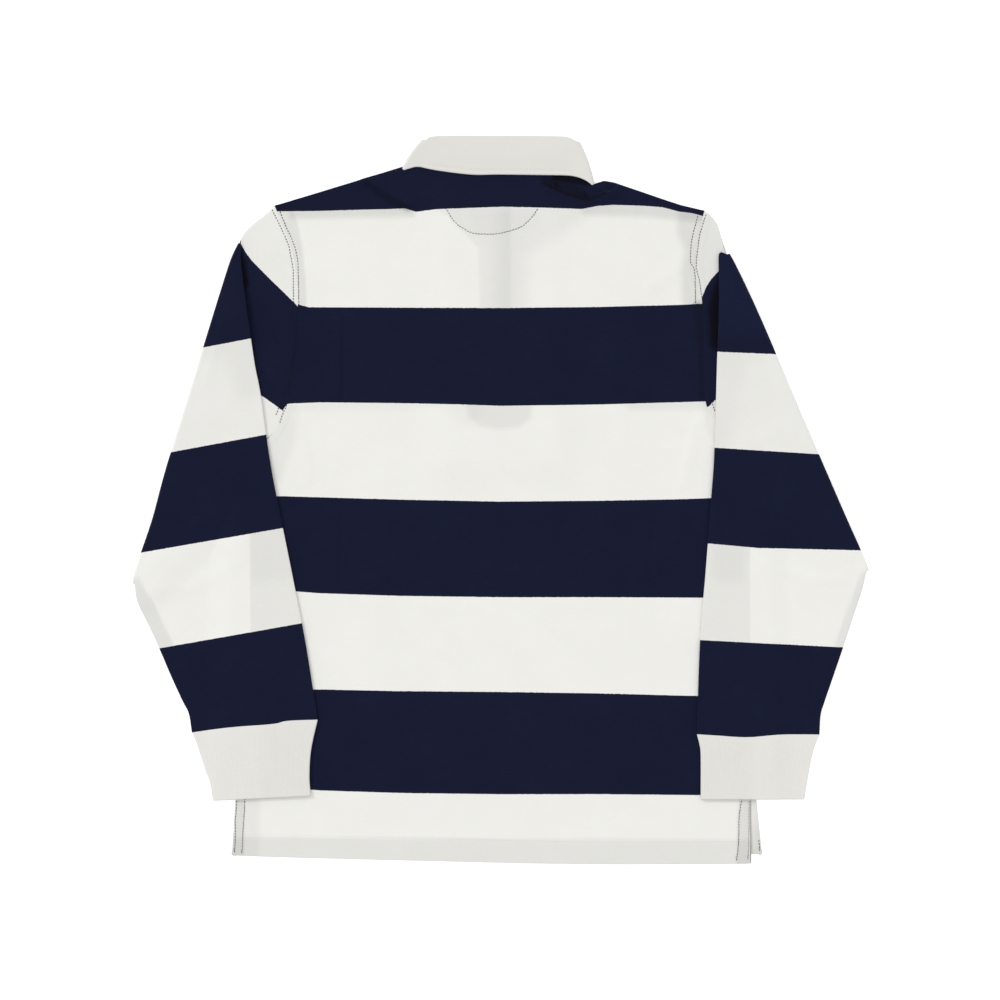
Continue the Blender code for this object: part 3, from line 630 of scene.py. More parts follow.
# Painted shade under and along each folded sleeve's lifted edge, in rows of the same kind
SLEEVE_PAINTED_SHADE = {
    "left": (
        ("under the flap's apex", 2.5, 0.42, (
            (-274, 264), (-270, 256), (-266, 249), (-265, 238), (-263, 226), (-267, 222), (-272, 238),
            (-275, 254))),
        ("along the flap's edge", 5, 0.1, (
            (-268, 232), (-258, 180), (-251, 120), (-256, 120), (-262, 180))),
    ),
    "right": (("under the flap's lifted edge", 6, 0.5, (
        (236, 236), (232, 230), (226, 214), (223, 198), (225, 161), (236, 161))),),
}
# Painted highlight where the folded sleeve catches more light than the rest, in rows of the same kind
SLEEVE_PAINTED_HIGHLIGHTS = {
    "left": (),
    "right": (("top of the flap", 28, -0.085, ((225, 262), (262, 262), (296, 188), (225, 188))),),
}

# How much darker the part of each sleeve by the armhole is
CAP_SHADE = {"left": 0.02, "right": 0.05}
# The power that turns the eye's scale of brightness into light
DISPLAY_GAMMA = 2.2


def shade(x, y, places):
    """The share of its light that the cloth keeps at each point; darker is as the eye sees it."""
    kept = np.ones(np.shape(x))
    for _, soft, darker, outline in places:
        inside = 1 - smooth_step(distance_outside(x, y, outline), 0, soft)
        kept *= (1 - darker * inside) ** DISPLAY_GAMMA
    return kept


# The paths of the two clearest creases
YOKE_CREASE = ((-150, 340), (-136, 331), (-116.3, 319), (-101.6, 310), (-86, 303))
COLLAR_TUCK = (
    (42, 335), (56, 328), (69.6, 321.1), (84.3, 315.9), (92.7, 314.2), (101.1, 316.9), (109.5, 320.2),
    (118, 323.5), (130, 329))
# Creases. Each row has the path, the height, and the width to the left and the right of the path.
BACK_CREASES = (
    (YOKE_CREASE, 3, 11, 1.8),
    (COLLAR_TUCK, 4.8, 1.5, 6),
    (((104, 329), (112, 322), (118, 314)), 1.4, 4, 2),
    (((52, 338), (74, 334), (92, 327)), -1, 3, 3),
    (((100, 316), (120, 306), (150, 301)), 0.8, 7, 9),
    (((-86, 303), (-60, 309), (-20, 316)), 0.7, 6, 10),
    (((-164.6, 178), (-165, 140), (-164.8, 102)), -0.8, 2.4, 2.4),
    (((-166.7, 0), (-166, -45), (-166.7, -98)), -0.8, 2.4, 2.4),
    (((159.9, -14), (160.4, -52), (159.9, -92)), -0.7, 2.4, 2.4),
    (((-212, 110), (-190, 80), (-168, 20)), 0.7, 9, 12),
    (((-214, 96), (-204, 60), (-198, 10)), 0.9, 5, 8),
    (((216, 100), (203, 62), (190, 4)), 0.9, 9, 6),
    (((206, 262), (180, 236), (150, 222)), 0.7, 9, 7),
    (((-206, 250), (-178, 228), (-150, 220)), 0.5, 9, 8),
    (((-60, -240), (10, -262), (100, -250)), 0.7, 16, 12),
    (((-120, -20), (-40, 10), (60, -6)), 0.6, 18, 14),
    (((20, -120), (90, -140), (150, -128)), 0.6, 14, 18),
)


def seam_channel(x, y, path, half_width=0.9, depth=0.35):
    """The groove that a row of stitches pulls into the cloth."""
    signed, _ = along_path(x, y, path)
    return -depth * np.exp(-((signed / half_width) ** 2))


def allowance_step(x, y, armhole):
    """The rise of the cloth over the seam allowance along an armhole."""
    signed, _ = along_path(x, y, curve(armhole, 40))
    return ALLOWANCE_RISE * (1 - smooth_step(abs(signed), 6.0, 9.0))


def back_relief(x, y):
    """What stands proud of the back's smooth form: creases, sewn bands and the step of the hem."""
    height = np.zeros(np.shape(x))
    for row in BACK_CREASES:
        height += ridge(x, y, *row)
    for name in ("left_inner", "left_inner_low", "right_inner"):
        height += seam_channel(x, y, ARMHOLE_STITCHES[name])
    height += seam_channel(x, y, HALF_MOON, 1.2, 0.25)
    for run in VENT_STITCHES.values():
        height += seam_channel(x, y, run)
    for armhole in (ARMHOLE_LEFT, ARMHOLE_RIGHT):
        height += allowance_step(x, y, armhole)
    hem_line = np.interp(x, [p[0] for p in HEM_BACK], [p[1] for p in HEM_BACK]) + HEM_BAND
    pucker = 0.12 * np.sin(x / 5.3) * np.exp(-(((y - hem_line) / 5.0) ** 2))
    height += 0.55 * (1 - smooth_step(y - hem_line, -1.5, 1.0)) + pucker
    lower_wave = 0.5 * (1 - smooth_step(y, -376, -330)) * np.sin(x / 37.0)
    return height + lower_wave


def body_fields(plan, bands, places, painted_shades=()):
    """The band, tone, painted shade and cloth coordinates of each point of the back or the front."""
    x, y = plan[..., 0], plan[..., 1]
    return {
        "stripe": band_places(x, y, bands),
        "tone": shade(x, y, places),
        "painted_shade_and_highlight": shade(x, y, painted_shades),
        "cloth": MM * np.stack([x, y], axis=-1),
    }


def build_back(borders, look):
    """The back, which lies on the front and drapes over the collar's leaves and the placket."""
    plan = coons(borders["left"], borders["right"], borders["hem_back"], borders["top_back"])
    x, y = plan[..., 0], plan[..., 1]
    top = back_height(x, y) + JERSEY + back_relief(x, y)
    outer = np.dstack([plan, top])
    inner = np.dstack([plan, np.maximum(top - JERSEY, back_height(x, y))])
    # The back's tone, and its painted shade in hollows and creases
    fields = body_fields(plan, BODY_BANDS, BACK_SHADES, BACK_PAINTED_SHADE)
    made = shell("back_cloth", outer, inner, fields, look)
    finish_cloth(made, "back")


# Places where the front looks darker: the hem because of what lies under it, and the right corner by painted
# shade from the back's edge beside it
FRONT_SHADES = (
    ("hem", 1.5, 0.04, ((-290, -345), (0, -347), (290, -344), (290, -390), (-290, -390))),
    ("painted shade by the back's edge at the right corner", 2, 0.03, ((264, -290), (290, -290), (290, -390), (262, -390))),
)
FRONT_CREASES = (
    (((-38, 74), (-96, 44), (-172, 24)), 1, 8, 6),
    (((38, 72), (82, 26), (112, -44)), 0.9, 7, 9),
    (((-8, 66), (-30, 4), (-70, -66)), 0.7, 6, 8),
    (((-216, 92), (-168, 52), (-140, -20)), 0.9, 9, 6),
    (((218, 88), (176, 60), (146, -6)), 1, 6, 9),
    (((-206, 210), (-170, 176), (-128, 166)), 0.7, 7, 7),
    (((204, 196), (162, 168), (118, 172)), 0.6, 8, 6),
    (((-176, -96), (-84, -138), (30, -128)), 0.9, 10, 8),
    (((64, -176), (128, -212), (214, -204)), 0.8, 7, 9),
    (((-236, -206), (-176, -238), (-104, -236)), 0.7, 8, 8),
    (((-44, -246), (22, -288), (96, -296)), 0.8, 9, 6),
    (((168, 20), (169, -60), (167, -150)), 0.5, 2.6, 2.6),
)


def build_front(borders, look):
    """The front, on the floor, raised where the leaves and the placket lie under it."""
    plan = coons(borders["left"], borders["right_front"], borders["hem_front"], borders["top_front"])
    x, y = plan[..., 0], plan[..., 1]
    low = lift(x, y)
    folds = 0.5 * (1 + np.sin(x / 33.0 + y / 80.0) * np.cos(y / 51.0 - x / 120.0))
    window = (1 - smooth_step(abs(x), 150, 220)) * smooth_step(y, -340, -300)
    folds *= 0.35 * window * (1 - smooth_step(y, 30, 60))
    for row in FRONT_CREASES:
        folds = folds + ridge(x, y, *row)
    edge = 0.25 * (1 - smooth_step(y, -351.5, -349.5))
    top = np.minimum(low + JERSEY + folds, back_height(x, y) - 0.15)
    outer = np.dstack([plan, np.minimum(low + folds + 0.25 - edge, top - 0.6)])
    inner = np.dstack([plan, top])
    made = shell("front_cloth", outer, inner, body_fields(plan, FRONT_BANDS, FRONT_SHADES), look)
    finish_cloth(made, "front")


def finish_cloth(made, node):
    """Ride and replace for a piece of cloth that stands for one node: it rides on the root, and the node's
    part is hidden.
    """
    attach(made, "root")
    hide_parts(node)


ACROSS = 80
CAP_STEPS = 8
PRESSED = 0.5
NEAR_RINGS, FOLD_STEPS, FAR_RINGS = 40, 16, 144
CUFF_RINGS = 28
CUFF_ACROSS = 200


def flat_ring(across, thick, radius):
    """One ring of a tube that lies pressed flat, as (x, y, height) points: over the top and back below."""
    middle = thick / 2
    inset = PRESSED * middle
    run = np.concatenate([[0], np.cumsum(np.linalg.norm(np.diff(across, axis=0), axis=1))])
    at = np.linspace(inset, run[-1] - inset, len(across))
    line = np.stack([np.interp(at, run, across[:, k]) for k in range(2)], axis=1)
    flat = line[1:-1]
    turns = {"first": (line[0], unit(line[0] - line[1])), "last": (line[-1], unit(line[-1] - line[-2]))}
    ring = [(*p, middle + radius) for p in flat]
    for name, start in (("last", 0.0), ("first", math.pi)):
        centre, outwards = turns[name]
        for step in range(CAP_STEPS + 1):
            angle = start + math.pi * step / CAP_STEPS
            reach = PRESSED * radius * abs(math.sin(angle))
            ring.append((*(centre + reach * outwards), middle + radius * math.cos(angle)))
        if name == "last":
            ring += [(*p, middle - radius) for p in flat[::-1]]
    return np.array(ring)


def sleeve_base(sleeve, borders):
    """A function that gives the lowest height of the folded part, which drapes to the floor."""
    near = np.vstack([curve(sleeve["armhole"], 12), curve(sleeve["fold"], 6)])
    body = np.vstack([borders["hem_back"][::16], borders["right"][1::14], borders["top_back"][::-16],
                      borders["left"][::-14]])
    centre = np.array(sleeve["lift_centre"])

    def base(x, y):
        off = np.minimum(distance_outside(x, y, near), distance_outside(x, y, body))
        away = np.hypot(1.6 * (x - centre[0]), y - centre[1])
        raised = EDGE_LIFT * (1 - smooth_step(away, 0, EDGE_LIFT_RADIUS))
        return FOLDED_HEIGHT * (1 - smooth_step(off, 16, 45)) + raised

    return base


SLEEVE_CREASES = {
    "left": (
        (((-270, 262), (-292, 180), (-312, 110)), 0.9, 9, 7),
        (((-378, -80), (-330, -40), (-280, 0)), 1.1, 8, 10),
        (((-376, -96), (-320, -92), (-262, -60)), 0.8, 8, 8),
        (((-340, -190), (-300, -150), (-270, -140)), 0.7, 8, 6),
        (((-222, 0), (-250, 40), (-290, 70)), 0.8, 9, 9),
        (((-262, -50), (-261, -120), (-262, -200)), 0.3, 9, 7),
    ),
    "right": (
        (((242, 256), (262, 180), (276, 110)), 0.9, 7, 9),
        (((378, -66), (330, -30), (284, 4)), 1.1, 10, 8),
        (((374, -84), (320, -84), (270, -60)), 0.8, 8, 8),
        (((350, -186), (312, -150), (280, -142)), 0.7, 6, 8),
        (((228, 20), (256, 52), (300, 76)), 0.8, 9, 9),
        (((264, -50), (263, -120), (264, -200)), 0.3, 7, 9),
    ),
}


def stripes_of_sleeve(sleeve, x, y, far):
    """Stripe places and cloth coordinates of plan points on one side of a sleeve's fold."""
    lines = sleeve["far_bands" if far else "near_bands"]
    places = line_places(x, y, lines)
    first, second = np.array(lines[1][0]), np.array(lines[1][-1])
    course = unit(second - first)
    along = (x - first[0]) * course[0] + (y - first[1]) * course[1]
    return places, MM * np.stack([along, places * STRIPE], axis=-1)


def seam_wave(sleeve, cells):
    """How the seam at the cuff strays from a straight line, from its inner end to its outer one."""
    share, height = np.array(sleeve["seam_wave"]).T
    wave = curve(np.column_stack([share, height]), 40)
    at = np.linspace(0, 1, cells + 1)
    return np.column_stack([0 * at, np.interp(at, wave[:, 0], wave[:, 1])])


def build_sleeve(side, sleeve, borders, look, rib_look):
    """One sleeve from its armhole, round its fold and down to the cuff, and the cuff."""
    fold = curve(sleeve["fold"], ACROSS)
    top, low = fold[0], fold[-1]
    along_fold = unit(low - top)
    outwards = np.array((along_fold[1], -along_fold[0]))
    armhole = curve(sleeve["armhole"], ACROSS)[::-1]
    if np.dot(outwards, top - armhole[0]) < 0:
        outwards = -outwards
    fold = fold - outwards * (TWO_LAYERS + FOLD_RADIUS)
    cap = curve(sleeve["cap"], NEAR_RINGS)
    by_cap = (1 - np.linspace(0, 1, ACROSS + 1)[:, None]) ** 2
    base = sleeve_base(sleeve, borders)
    pivot = TWO_LAYERS + FOLD_RADIUS
    radii = (TWO_LAYERS / 2, TWO_LAYERS / 2 - JERSEY)

    rings = {radius: [] for radius in radii}
    heights = {radius: [] for radius in radii}

    def add_rings(line, angle=None):
        """The outer and the inner ring on a line, turned by the angle on the way over the fold."""
        for radius in radii:
            ring = flat_ring(line, TWO_LAYERS, radius)
            heights[radius].append(ring[:, 2].copy())
            if angle is not None:
                reach = pivot - ring[:, 2]
                plan = ring[:, :2] + outwards * (reach * math.sin(angle))[:, None]
                ring = np.column_stack([plan, pivot - reach * math.cos(angle)])
            rings[radius].append(ring)

    for step in range(NEAR_RINGS):
        share = step / NEAR_RINGS
        across = (1 - share) * armhole + share * fold
        add_rings(across + by_cap * (cap[step] - across[0]))
    for step in range(FOLD_STEPS + 1):
        add_rings(fold, math.pi * step / FOLD_STEPS)
    inner_edge = curve(sleeve["inner_edge"], FAR_RINGS)
    outer_edge = curve(sleeve["outer_edge"], FAR_RINGS)
    bow = fold - even(np.vstack([top, low]), ACROSS)
    for step in range(1, FAR_RINGS + 1):
        settle = 1 - smooth_step(step, 0, 24)
        line = even(np.vstack([inner_edge[step], outer_edge[step]]), ACROSS) + settle * bow
        add_rings(line + smooth_step(step, FAR_RINGS - 22, FAR_RINGS) * seam_wave(sleeve, ACROSS))

    grids = []
    first_far = NEAR_RINGS + FOLD_STEPS + 1
    for radius in radii:
        grid = np.array(rings[radius])
        height = np.array(heights[radius])
        far = grid[first_far:]
        x, y = far[..., 0], far[..., 1]
        fade = smooth_step(np.arange(1, FAR_RINGS + 1), 0, 10)[:, None]
        relief = sum(ridge(x, y, *row) for row in SLEEVE_CREASES[side])
        relief = np.maximum(relief, 0) * fade
        far[..., 2] = base(x, y) + TWO_LAYERS - height[first_far:] + relief
        near = grid[:NEAR_RINGS]
        x, y = near[..., 0], near[..., 1]
        raised = allowance_step(x, y, sleeve["armhole"])
        for name in (side + "_outer", side + "_outer_low"):
            if name in ARMHOLE_STITCHES:
                raised += seam_channel(x, y, ARMHOLE_STITCHES[name])
        share = height[:NEAR_RINGS] / TWO_LAYERS
        under_fold = smooth_step(np.arange(NEAR_RINGS), NEAR_RINGS - 14, NEAR_RINGS - 4)[:, None]
        near[..., 2] += raised * smooth_step(share, 0.4, 0.6) * (1 - under_fold)
        grids.append(grid)
    outer, inner = grids

    x, y = outer[..., 0], outer[..., 1]
    is_far = (np.arange(len(outer)) >= NEAR_RINGS + FOLD_STEPS // 2)[:, None]
    # Painted shade under the flap's edge, on the upper face of the part by the armhole only
    on_top = smooth_step(np.array(heights[radii[0]]) / TWO_LAYERS, 0.4, 0.6)
    near_painted_shade = 1 - on_top * (1 - shade(x, y, SLEEVE_PAINTED_SHADE[side]))
    near_places, near_cloth = stripes_of_sleeve(sleeve, x, y, False)
    far_places, far_cloth = stripes_of_sleeve(sleeve, x, y, True)
    fields = {
        "stripe": np.where(is_far, far_places, near_places),
        "tone": np.where(is_far, shade(x, y, SLEEVE_SHADES[side]), (1 - CAP_SHADE[side]) ** DISPLAY_GAMMA),
        # Painted highlight on the folded part, painted shade on the part by the armhole
        "painted_shade_and_highlight": np.where(is_far, shade(x, y, SLEEVE_PAINTED_HIGHLIGHTS[side]), near_painted_shade),
        "cloth": np.where(is_far[..., None], far_cloth, near_cloth),
    }
    made = shell("sleeve_cloth_" + side, outer, inner, fields, look, tube=True)
    finish_cloth(made, "sleeve_" + side)
    build_cuff(side, sleeve, base, rib_look)


def build_cuff(side, sleeve, base, look):
    """A knitted cuff: a flat tube with raised ribs, drawn in where it meets the sleeve."""
    thick = 2 * RIB + GAP
    cuff_inner = curve(sleeve["cuff_inner"], CUFF_RINGS)
    cuff_outer = curve(sleeve["cuff_outer"], CUFF_RINGS)
    outer, inner = [], []
    for step in range(CUFF_RINGS + 1):
        ends = even(np.vstack([cuff_inner[step], cuff_outer[step]]), CUFF_ACROSS)
        down = step / CUFF_RINGS
        ends = ends + (1 - smooth_step(down, 0, 0.5)) * seam_wave(sleeve, CUFF_ACROSS)
        for rings, radius in ((outer, thick / 2), (inner, thick / 2 - RIB)):
            ring = flat_ring(ends, thick, radius)
            if radius == thick / 2:
                rib = 0.09 * np.cos(2 * math.pi * np.arange(len(ring)) / 4)
                seam = 0.6 * math.exp(-((down * CUFF_LENGTH / 2.5) ** 2))
                end_roll = 0.25 * math.exp(-(((1 - down) * CUFF_LENGTH / 3.0) ** 2))
                push = rib * (1 - seam) - seam * 0.5 + end_roll
                side_of = np.sign(ring[:, 2] - thick / 2)
                ring[:, 2] += push * side_of * (side_of > 0)
            ring[:, 2] += base(ring[:, 0], ring[:, 1])
            rings.append(ring)
    outer, inner = np.array(outer), np.array(inner)
    x, y = outer[..., 0], outer[..., 1]
    down = np.linspace(0, MM * CUFF_LENGTH, CUFF_RINGS + 1)[:, None] + 0 * x
    around = MM * 0.66 * np.arange(outer.shape[1])[None] + 0 * x
    fields = {
        "tone": shade(x, y, CUFF_SHADES[side]),
        "cloth": np.stack([around, down], axis=-1),
    }
    made = shell("cuff_knit_" + side, outer, inner, fields, look, tube=True)
    finish_cloth(made, "cuff_" + side)


def collar_fold(roll, edge, side):
    """The middle line of the collar's turn at one side, from the roll line to the outer edge."""
    roll, edge = np.array(roll), np.array(edge)
    down = unit(edge - roll)
    outwards = np.array((-down[1], down[0])) * side
    inset = outwards * COLLAR_OUTSIDE / 2
    return roll - inset, edge - inset, outwards


COLLAR_ROWS, LEAF_COLUMNS, COLLAR_COLUMNS, TURN_STEPS = 40, 60, 100, 10


def build_round_neck(name, back, leaves, folds, heights, look, fields_of):
    """A band of cloth round the neck: a leaf, a turn, the back, a turn and the other leaf."""
    (low_in, low_out), (high_in, high_out), (radius_in, radius_out) = heights
    middle = COLLAR_OUTSIDE / 2
    columns_in, columns_out = [], []
    swell = 1.7 * np.sin(np.linspace(0, math.pi, COLLAR_ROWS + 1))[:, None]

    def flat_column(upper, lower, inner_height, outer_height):
        line = even(np.vstack([upper, lower]), COLLAR_ROWS)
        for columns, height in ((columns_in, inner_height), (columns_out, outer_height)):
            columns.append(np.column_stack([line, height(line[:, 0], line[:, 1]) + 0 * line[:, 0]]))

    def turned_column(fold, angle):
        upper, lower, outwards = fold
        line = even(np.vstack([upper, lower]), COLLAR_ROWS)
        for columns, radius in ((columns_in, radius_in), (columns_out, radius_out)):
            plan = line + outwards * (radius * math.sin(angle) + swell)
            height = np.full(len(line), middle + radius * math.cos(angle))
            columns.append(np.column_stack([plan, height]))

    leaf_left, leaf_right = leaves
    for upper, lower in list(zip(*leaf_left))[:0:-1]:
        flat_column(upper, lower, low_in, low_out)
    for step in range(TURN_STEPS + 1):
        turned_column(folds[0], math.pi * (1 - step / TURN_STEPS))
    for upper, lower in list(zip(*back))[1:-1]:
        flat_column(upper, lower, high_in, high_out)
    for step in range(TURN_STEPS + 1):
        turned_column(folds[1], math.pi * step / TURN_STEPS)
    for upper, lower in list(zip(*leaf_right))[1:]:
        flat_column(upper, lower, low_in, low_out)
    outer, inner = np.array(columns_out), np.array(columns_in)
    # The inner surface takes every fourth column, so the number of cells is made to fit
    spare = (len(outer) - 1) % 4
    if spare:
        outer, inner = outer[: len(outer) - spare], inner[: len(inner) - spare]
    return shell(name, outer, inner, fields_of(outer), look)


def collar_fields(outer):
    """Cloth coordinates round the collar, and its tone."""
    count, rows = outer.shape[:2]
    middle = outer[:, rows // 2, :2]
    around = np.concatenate([[0], np.cumsum(np.linalg.norm(np.diff(middle, axis=0), axis=1))])
    down = np.linspace(0, 42.0, rows)
    cloth = np.stack(np.meshgrid(around, down, indexing="ij"), axis=-1)
    return {"cloth": MM * cloth, "tone": np.ones((count, rows))}


def build_collar(look):
    """The neck band, sewn to the neckline, and the fall that is turned down over it."""
    left = collar_fold(ROLL_BACK[0], EDGE_BACK[0], -1)
    right = collar_fold(ROLL_BACK[-1], EDGE_BACK[-1], 1)

    def between(points, first, last, cells):
        return curve([first, *points[1:-1], last], cells)

    def edge_bead(x, y):
        """The turned and topstitched edge of the fall."""
        edge = curve([left[1], *EDGE_BACK[1:-1], right[1]], 60)
        signed, _ = along_path(x, y, edge)
        bead = 0.25 * np.exp(-(((abs(signed) - 1.2) / 1.4) ** 2))
        return bead - 0.3 * np.exp(-(((abs(signed) - COLLAR_STITCHES_IN) / 0.9) ** 2))

    def fall_top(x, y):
        swell = 0.9 * np.exp(-(((y - 362) / 13.0) ** 2)) * (1 + 0.35 * np.sin(x / 23.0))
        flat = 1 - smooth_step(abs(x), 60, 88)
        return back_height(x, y) + JERSEY + GAP + COLLAR_CLOTH + swell * flat + edge_bead(x, y) * flat

    fall = build_round_neck(
        "collar_fall",
        (between(ROLL_BACK, left[0], right[0], COLLAR_COLUMNS),
         between(EDGE_BACK, left[1], right[1], COLLAR_COLUMNS)),
        ((between(ROLL_LEAF_LEFT, left[0], ROLL_LEAF_LEFT[-1], LEAF_COLUMNS),
          between(EDGE_LEAF_LEFT, left[1], EDGE_LEAF_LEFT[-1], LEAF_COLUMNS)),
         (between(ROLL_LEAF_RIGHT, right[0], ROLL_LEAF_RIGHT[-1], LEAF_COLUMNS),
          between(EDGE_LEAF_RIGHT, right[1], EDGE_LEAF_RIGHT[-1], LEAF_COLUMNS))),
        (left, right),
        ((lambda x, y: COLLAR_CLOTH, lambda x, y: 0.0 * x),
         (lambda x, y: fall_top(x, y) - COLLAR_CLOTH, fall_top),
         (COLLAR_OUTSIDE / 2 - COLLAR_CLOTH, COLLAR_OUTSIDE / 2)),
        look, collar_fields,
    )
    finish_cloth(fall, "collar")

    def shorter(fold):
        upper, lower, outwards = fold
        return upper + 0.01 * (lower - upper), upper + BAND_SHARE_OF_FALL * (lower - upper), outwards

    left_band, right_band = shorter(left), shorter(right)
    seam_gap = 2 * GAP
    half = NECK_COLUMNS // 2
    back_seam = curve(NECK_BACK, NECK_COLUMNS) + (0, seam_gap)
    left_seam = curve(NECK_FRONT_LEFT, half) + (0.3, seam_gap)
    right_seam = (curve(NECK_FRONT_RIGHT, half) + (-0.3, seam_gap))[::-1]
    back_seam[0], back_seam[-1] = left_band[1], right_band[1]
    left_seam[0], right_seam[0] = left_band[1], right_band[1]
    left_seam[-1][0] = ROLL_LEAF_LEFT[-1][0]
    right_seam[-1][0] = ROLL_LEAF_RIGHT[-1][0]
    band = build_round_neck(
        "neck_band_cloth",
        (curve([left_band[0], *ROLL_BACK[1:-1], right_band[0]], NECK_COLUMNS), back_seam),
        ((curve([left_band[0], *ROLL_LEAF_LEFT[1:]], half), left_seam),
         (curve([right_band[0], *ROLL_LEAF_RIGHT[1:]], half), right_seam)),
        (left_band, right_band),
        ((lambda x, y: lift(x, y) + JERSEY, lift),
         (back_height, lambda x, y: back_height(x, y) + JERSEY),
         (TWO_LAYERS / 2 - JERSEY, TWO_LAYERS / 2)),
        look, collar_fields,
    )
    finish_cloth(band, "neck_band")


def build_placket(look):
    """The closing strip on the outside of the front, with a turned edge all round."""
    rows, columns, half = 120, 24, PLACKET_WIDTH / 2
    v = np.linspace(0, 1, rows + 1)[:, None]
    u = np.linspace(-1, 1, columns + 1)[None]
    y = PLACKET_TOP + (PLACKET_BOTTOM - PLACKET_TOP) * v + 0 * u
    corner = 12.0
    short = np.maximum(0, corner - (y - PLACKET_BOTTOM))
    narrow = corner - np.sqrt(np.maximum(0, corner**2 - short**2))
    x = PLACKET_CENTRE + u * (half - narrow * 0.98)
    edge = np.minimum(half - abs(x - PLACKET_CENTRE), y - PLACKET_BOTTOM)
    bead = 0.25 * np.exp(-((edge / 2.5) ** 2)) - 0.2 * np.exp(-(((edge - 4.0) / 1.0) ** 2))
    outer = np.stack([x, y, PLACKET_BASE + 0.2 - bead], axis=-1)
    inner = np.stack([x, y, PLACKET_BASE + JERSEY + 0 * x], axis=-1)
    fields = {"cloth": MM * np.stack([x, y], axis=-1), "tone": np.ones(x.shape)}
    made = shell("placket_strip", outer, inner, fields, look)
    finish_cloth(made, "placket")


def build_button(number, place_at, look, thread_look):
    """A sewn button, face down: a turned rim round a dish with four holes and crossed thread."""
    # Distances from the middle and heights, in millimetres
    profile = ((0.0, 2.0), (2.6, 2.0), (4.7, 1.9), (5.3, 1.6), (5.5, 1.15), (5.4, 0.5), (5.1, 0.12),
               (4.7, 0.0), (4.2, 0.05), (3.8, 0.3), (3.4, 0.6), (2.8, 0.72), (0.0, 0.75))
    around = 48
    points, faces = [(*place_at, profile[0][1])], []
    for reach, height in profile[1:-1]:
        for step in range(around):
            angle = 2 * math.pi * step / around
            points.append((place_at[0] + reach * math.cos(angle),
                           place_at[1] + reach * math.sin(angle), height))
    points.append((*place_at, profile[-1][1]))
    rows = len(profile) - 2
    for step in range(around):
        after = (step + 1) % around
        faces.append([0, 1 + step, 1 + after])
        for row in range(rows - 1):
            a, b = 1 + row * around + step, 1 + row * around + after
            faces.append([a, a + around, b + around, b])
        faces.append([len(points) - 1, 1 + (rows - 1) * around + after, 1 + (rows - 1) * around + step])
    points = np.array(points)
    if not facing_out(points, faces):
        faces = [face[::-1] for face in faces]
    button = new_object(f"sewn_button_{number}", points, faces, look)
    for dx, dy in ((-1, -1), (-1, 1), (1, -1), (1, 1)):
        centre = place((place_at[0] + 1.15 * dx, place_at[1] + 1.15 * dy, 1.0))
        bpy.ops.mesh.primitive_cylinder_add(vertices=16, radius=0.75 * MM, depth=6 * MM, location=centre)
        cutter = bpy.context.object
        cut = button.modifiers.new("hole", "BOOLEAN")
        cut.operation, cut.object, cut.solver = "DIFFERENCE", cutter, "EXACT"
        bpy.context.view_layer.objects.active = button
        bpy.ops.object.modifier_apply(modifier=cut.name)
        bpy.data.objects.remove(cutter, do_unlink=True)
    button.data.shade_smooth()
    button.data.set_sharp_from_angle(angle=math.radians(40))
    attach(button, "root")
    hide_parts(f"button_{number}")
    lines = []
    for sign in (-1, 1):
        start = np.array((place_at[0] - 1.15, place_at[1] - 1.15 * sign, 0.62))
        end = np.array((place_at[0] + 1.15, place_at[1] + 1.15 * sign, 0.62))
        lines.append(np.linspace(start, end, 5))
    thread = thread_mesh(f"button_thread_{number}", lines, 0.32, thread_look)


def thread_mesh(name, runs, width, look, sides=6):
    """Short lengths of thread, each a run of five points, thinner at its ends."""
    swell = np.array([0.35, 0.9, 1.0, 0.9, 0.35])
    points, faces = [], []
    for run in runs:
        run = np.asarray(run, dtype=float)
        along = unit(np.gradient(run, axis=0))
        side = unit(np.cross(along, (0.0, 0.0, 1.0)))
        up = np.cross(side, along)
        first = len(points)
        for k in range(len(run)):
            for turn in range(sides):
                angle = 2 * math.pi * turn / sides
                spoke = side[k] * math.cos(angle) + up[k] * math.sin(angle)
                points.append(run[k] + 0.5 * width * swell[k] * spoke)
        for k in range(len(run) - 1):
            for turn in range(sides):
                a, b = first + k * sides + turn, first + k * sides + (turn + 1) % sides
                faces.append([a, b, b + sides, a + sides])
        faces.append([first + turn for turn in range(sides)][::-1])
        last = first + (len(run) - 1) * sides
        faces.append([last + turn for turn in range(sides)])
    made = new_object(name, np.array(points), faces, look)
    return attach(made, "root")


def surface_tree(names):
    """A tree of the faces of several pieces, for the height of the topmost or lowest surface."""
    points, faces = [], []
    for name in names:
        mesh = bpy.data.objects[name].data
        count = len(points)
        points += [v.co.copy() for v in mesh.vertices]
        faces += [[count + k for k in p.vertices] for p in mesh.polygons]
    return BVHTree.FromPolygons(points, faces)


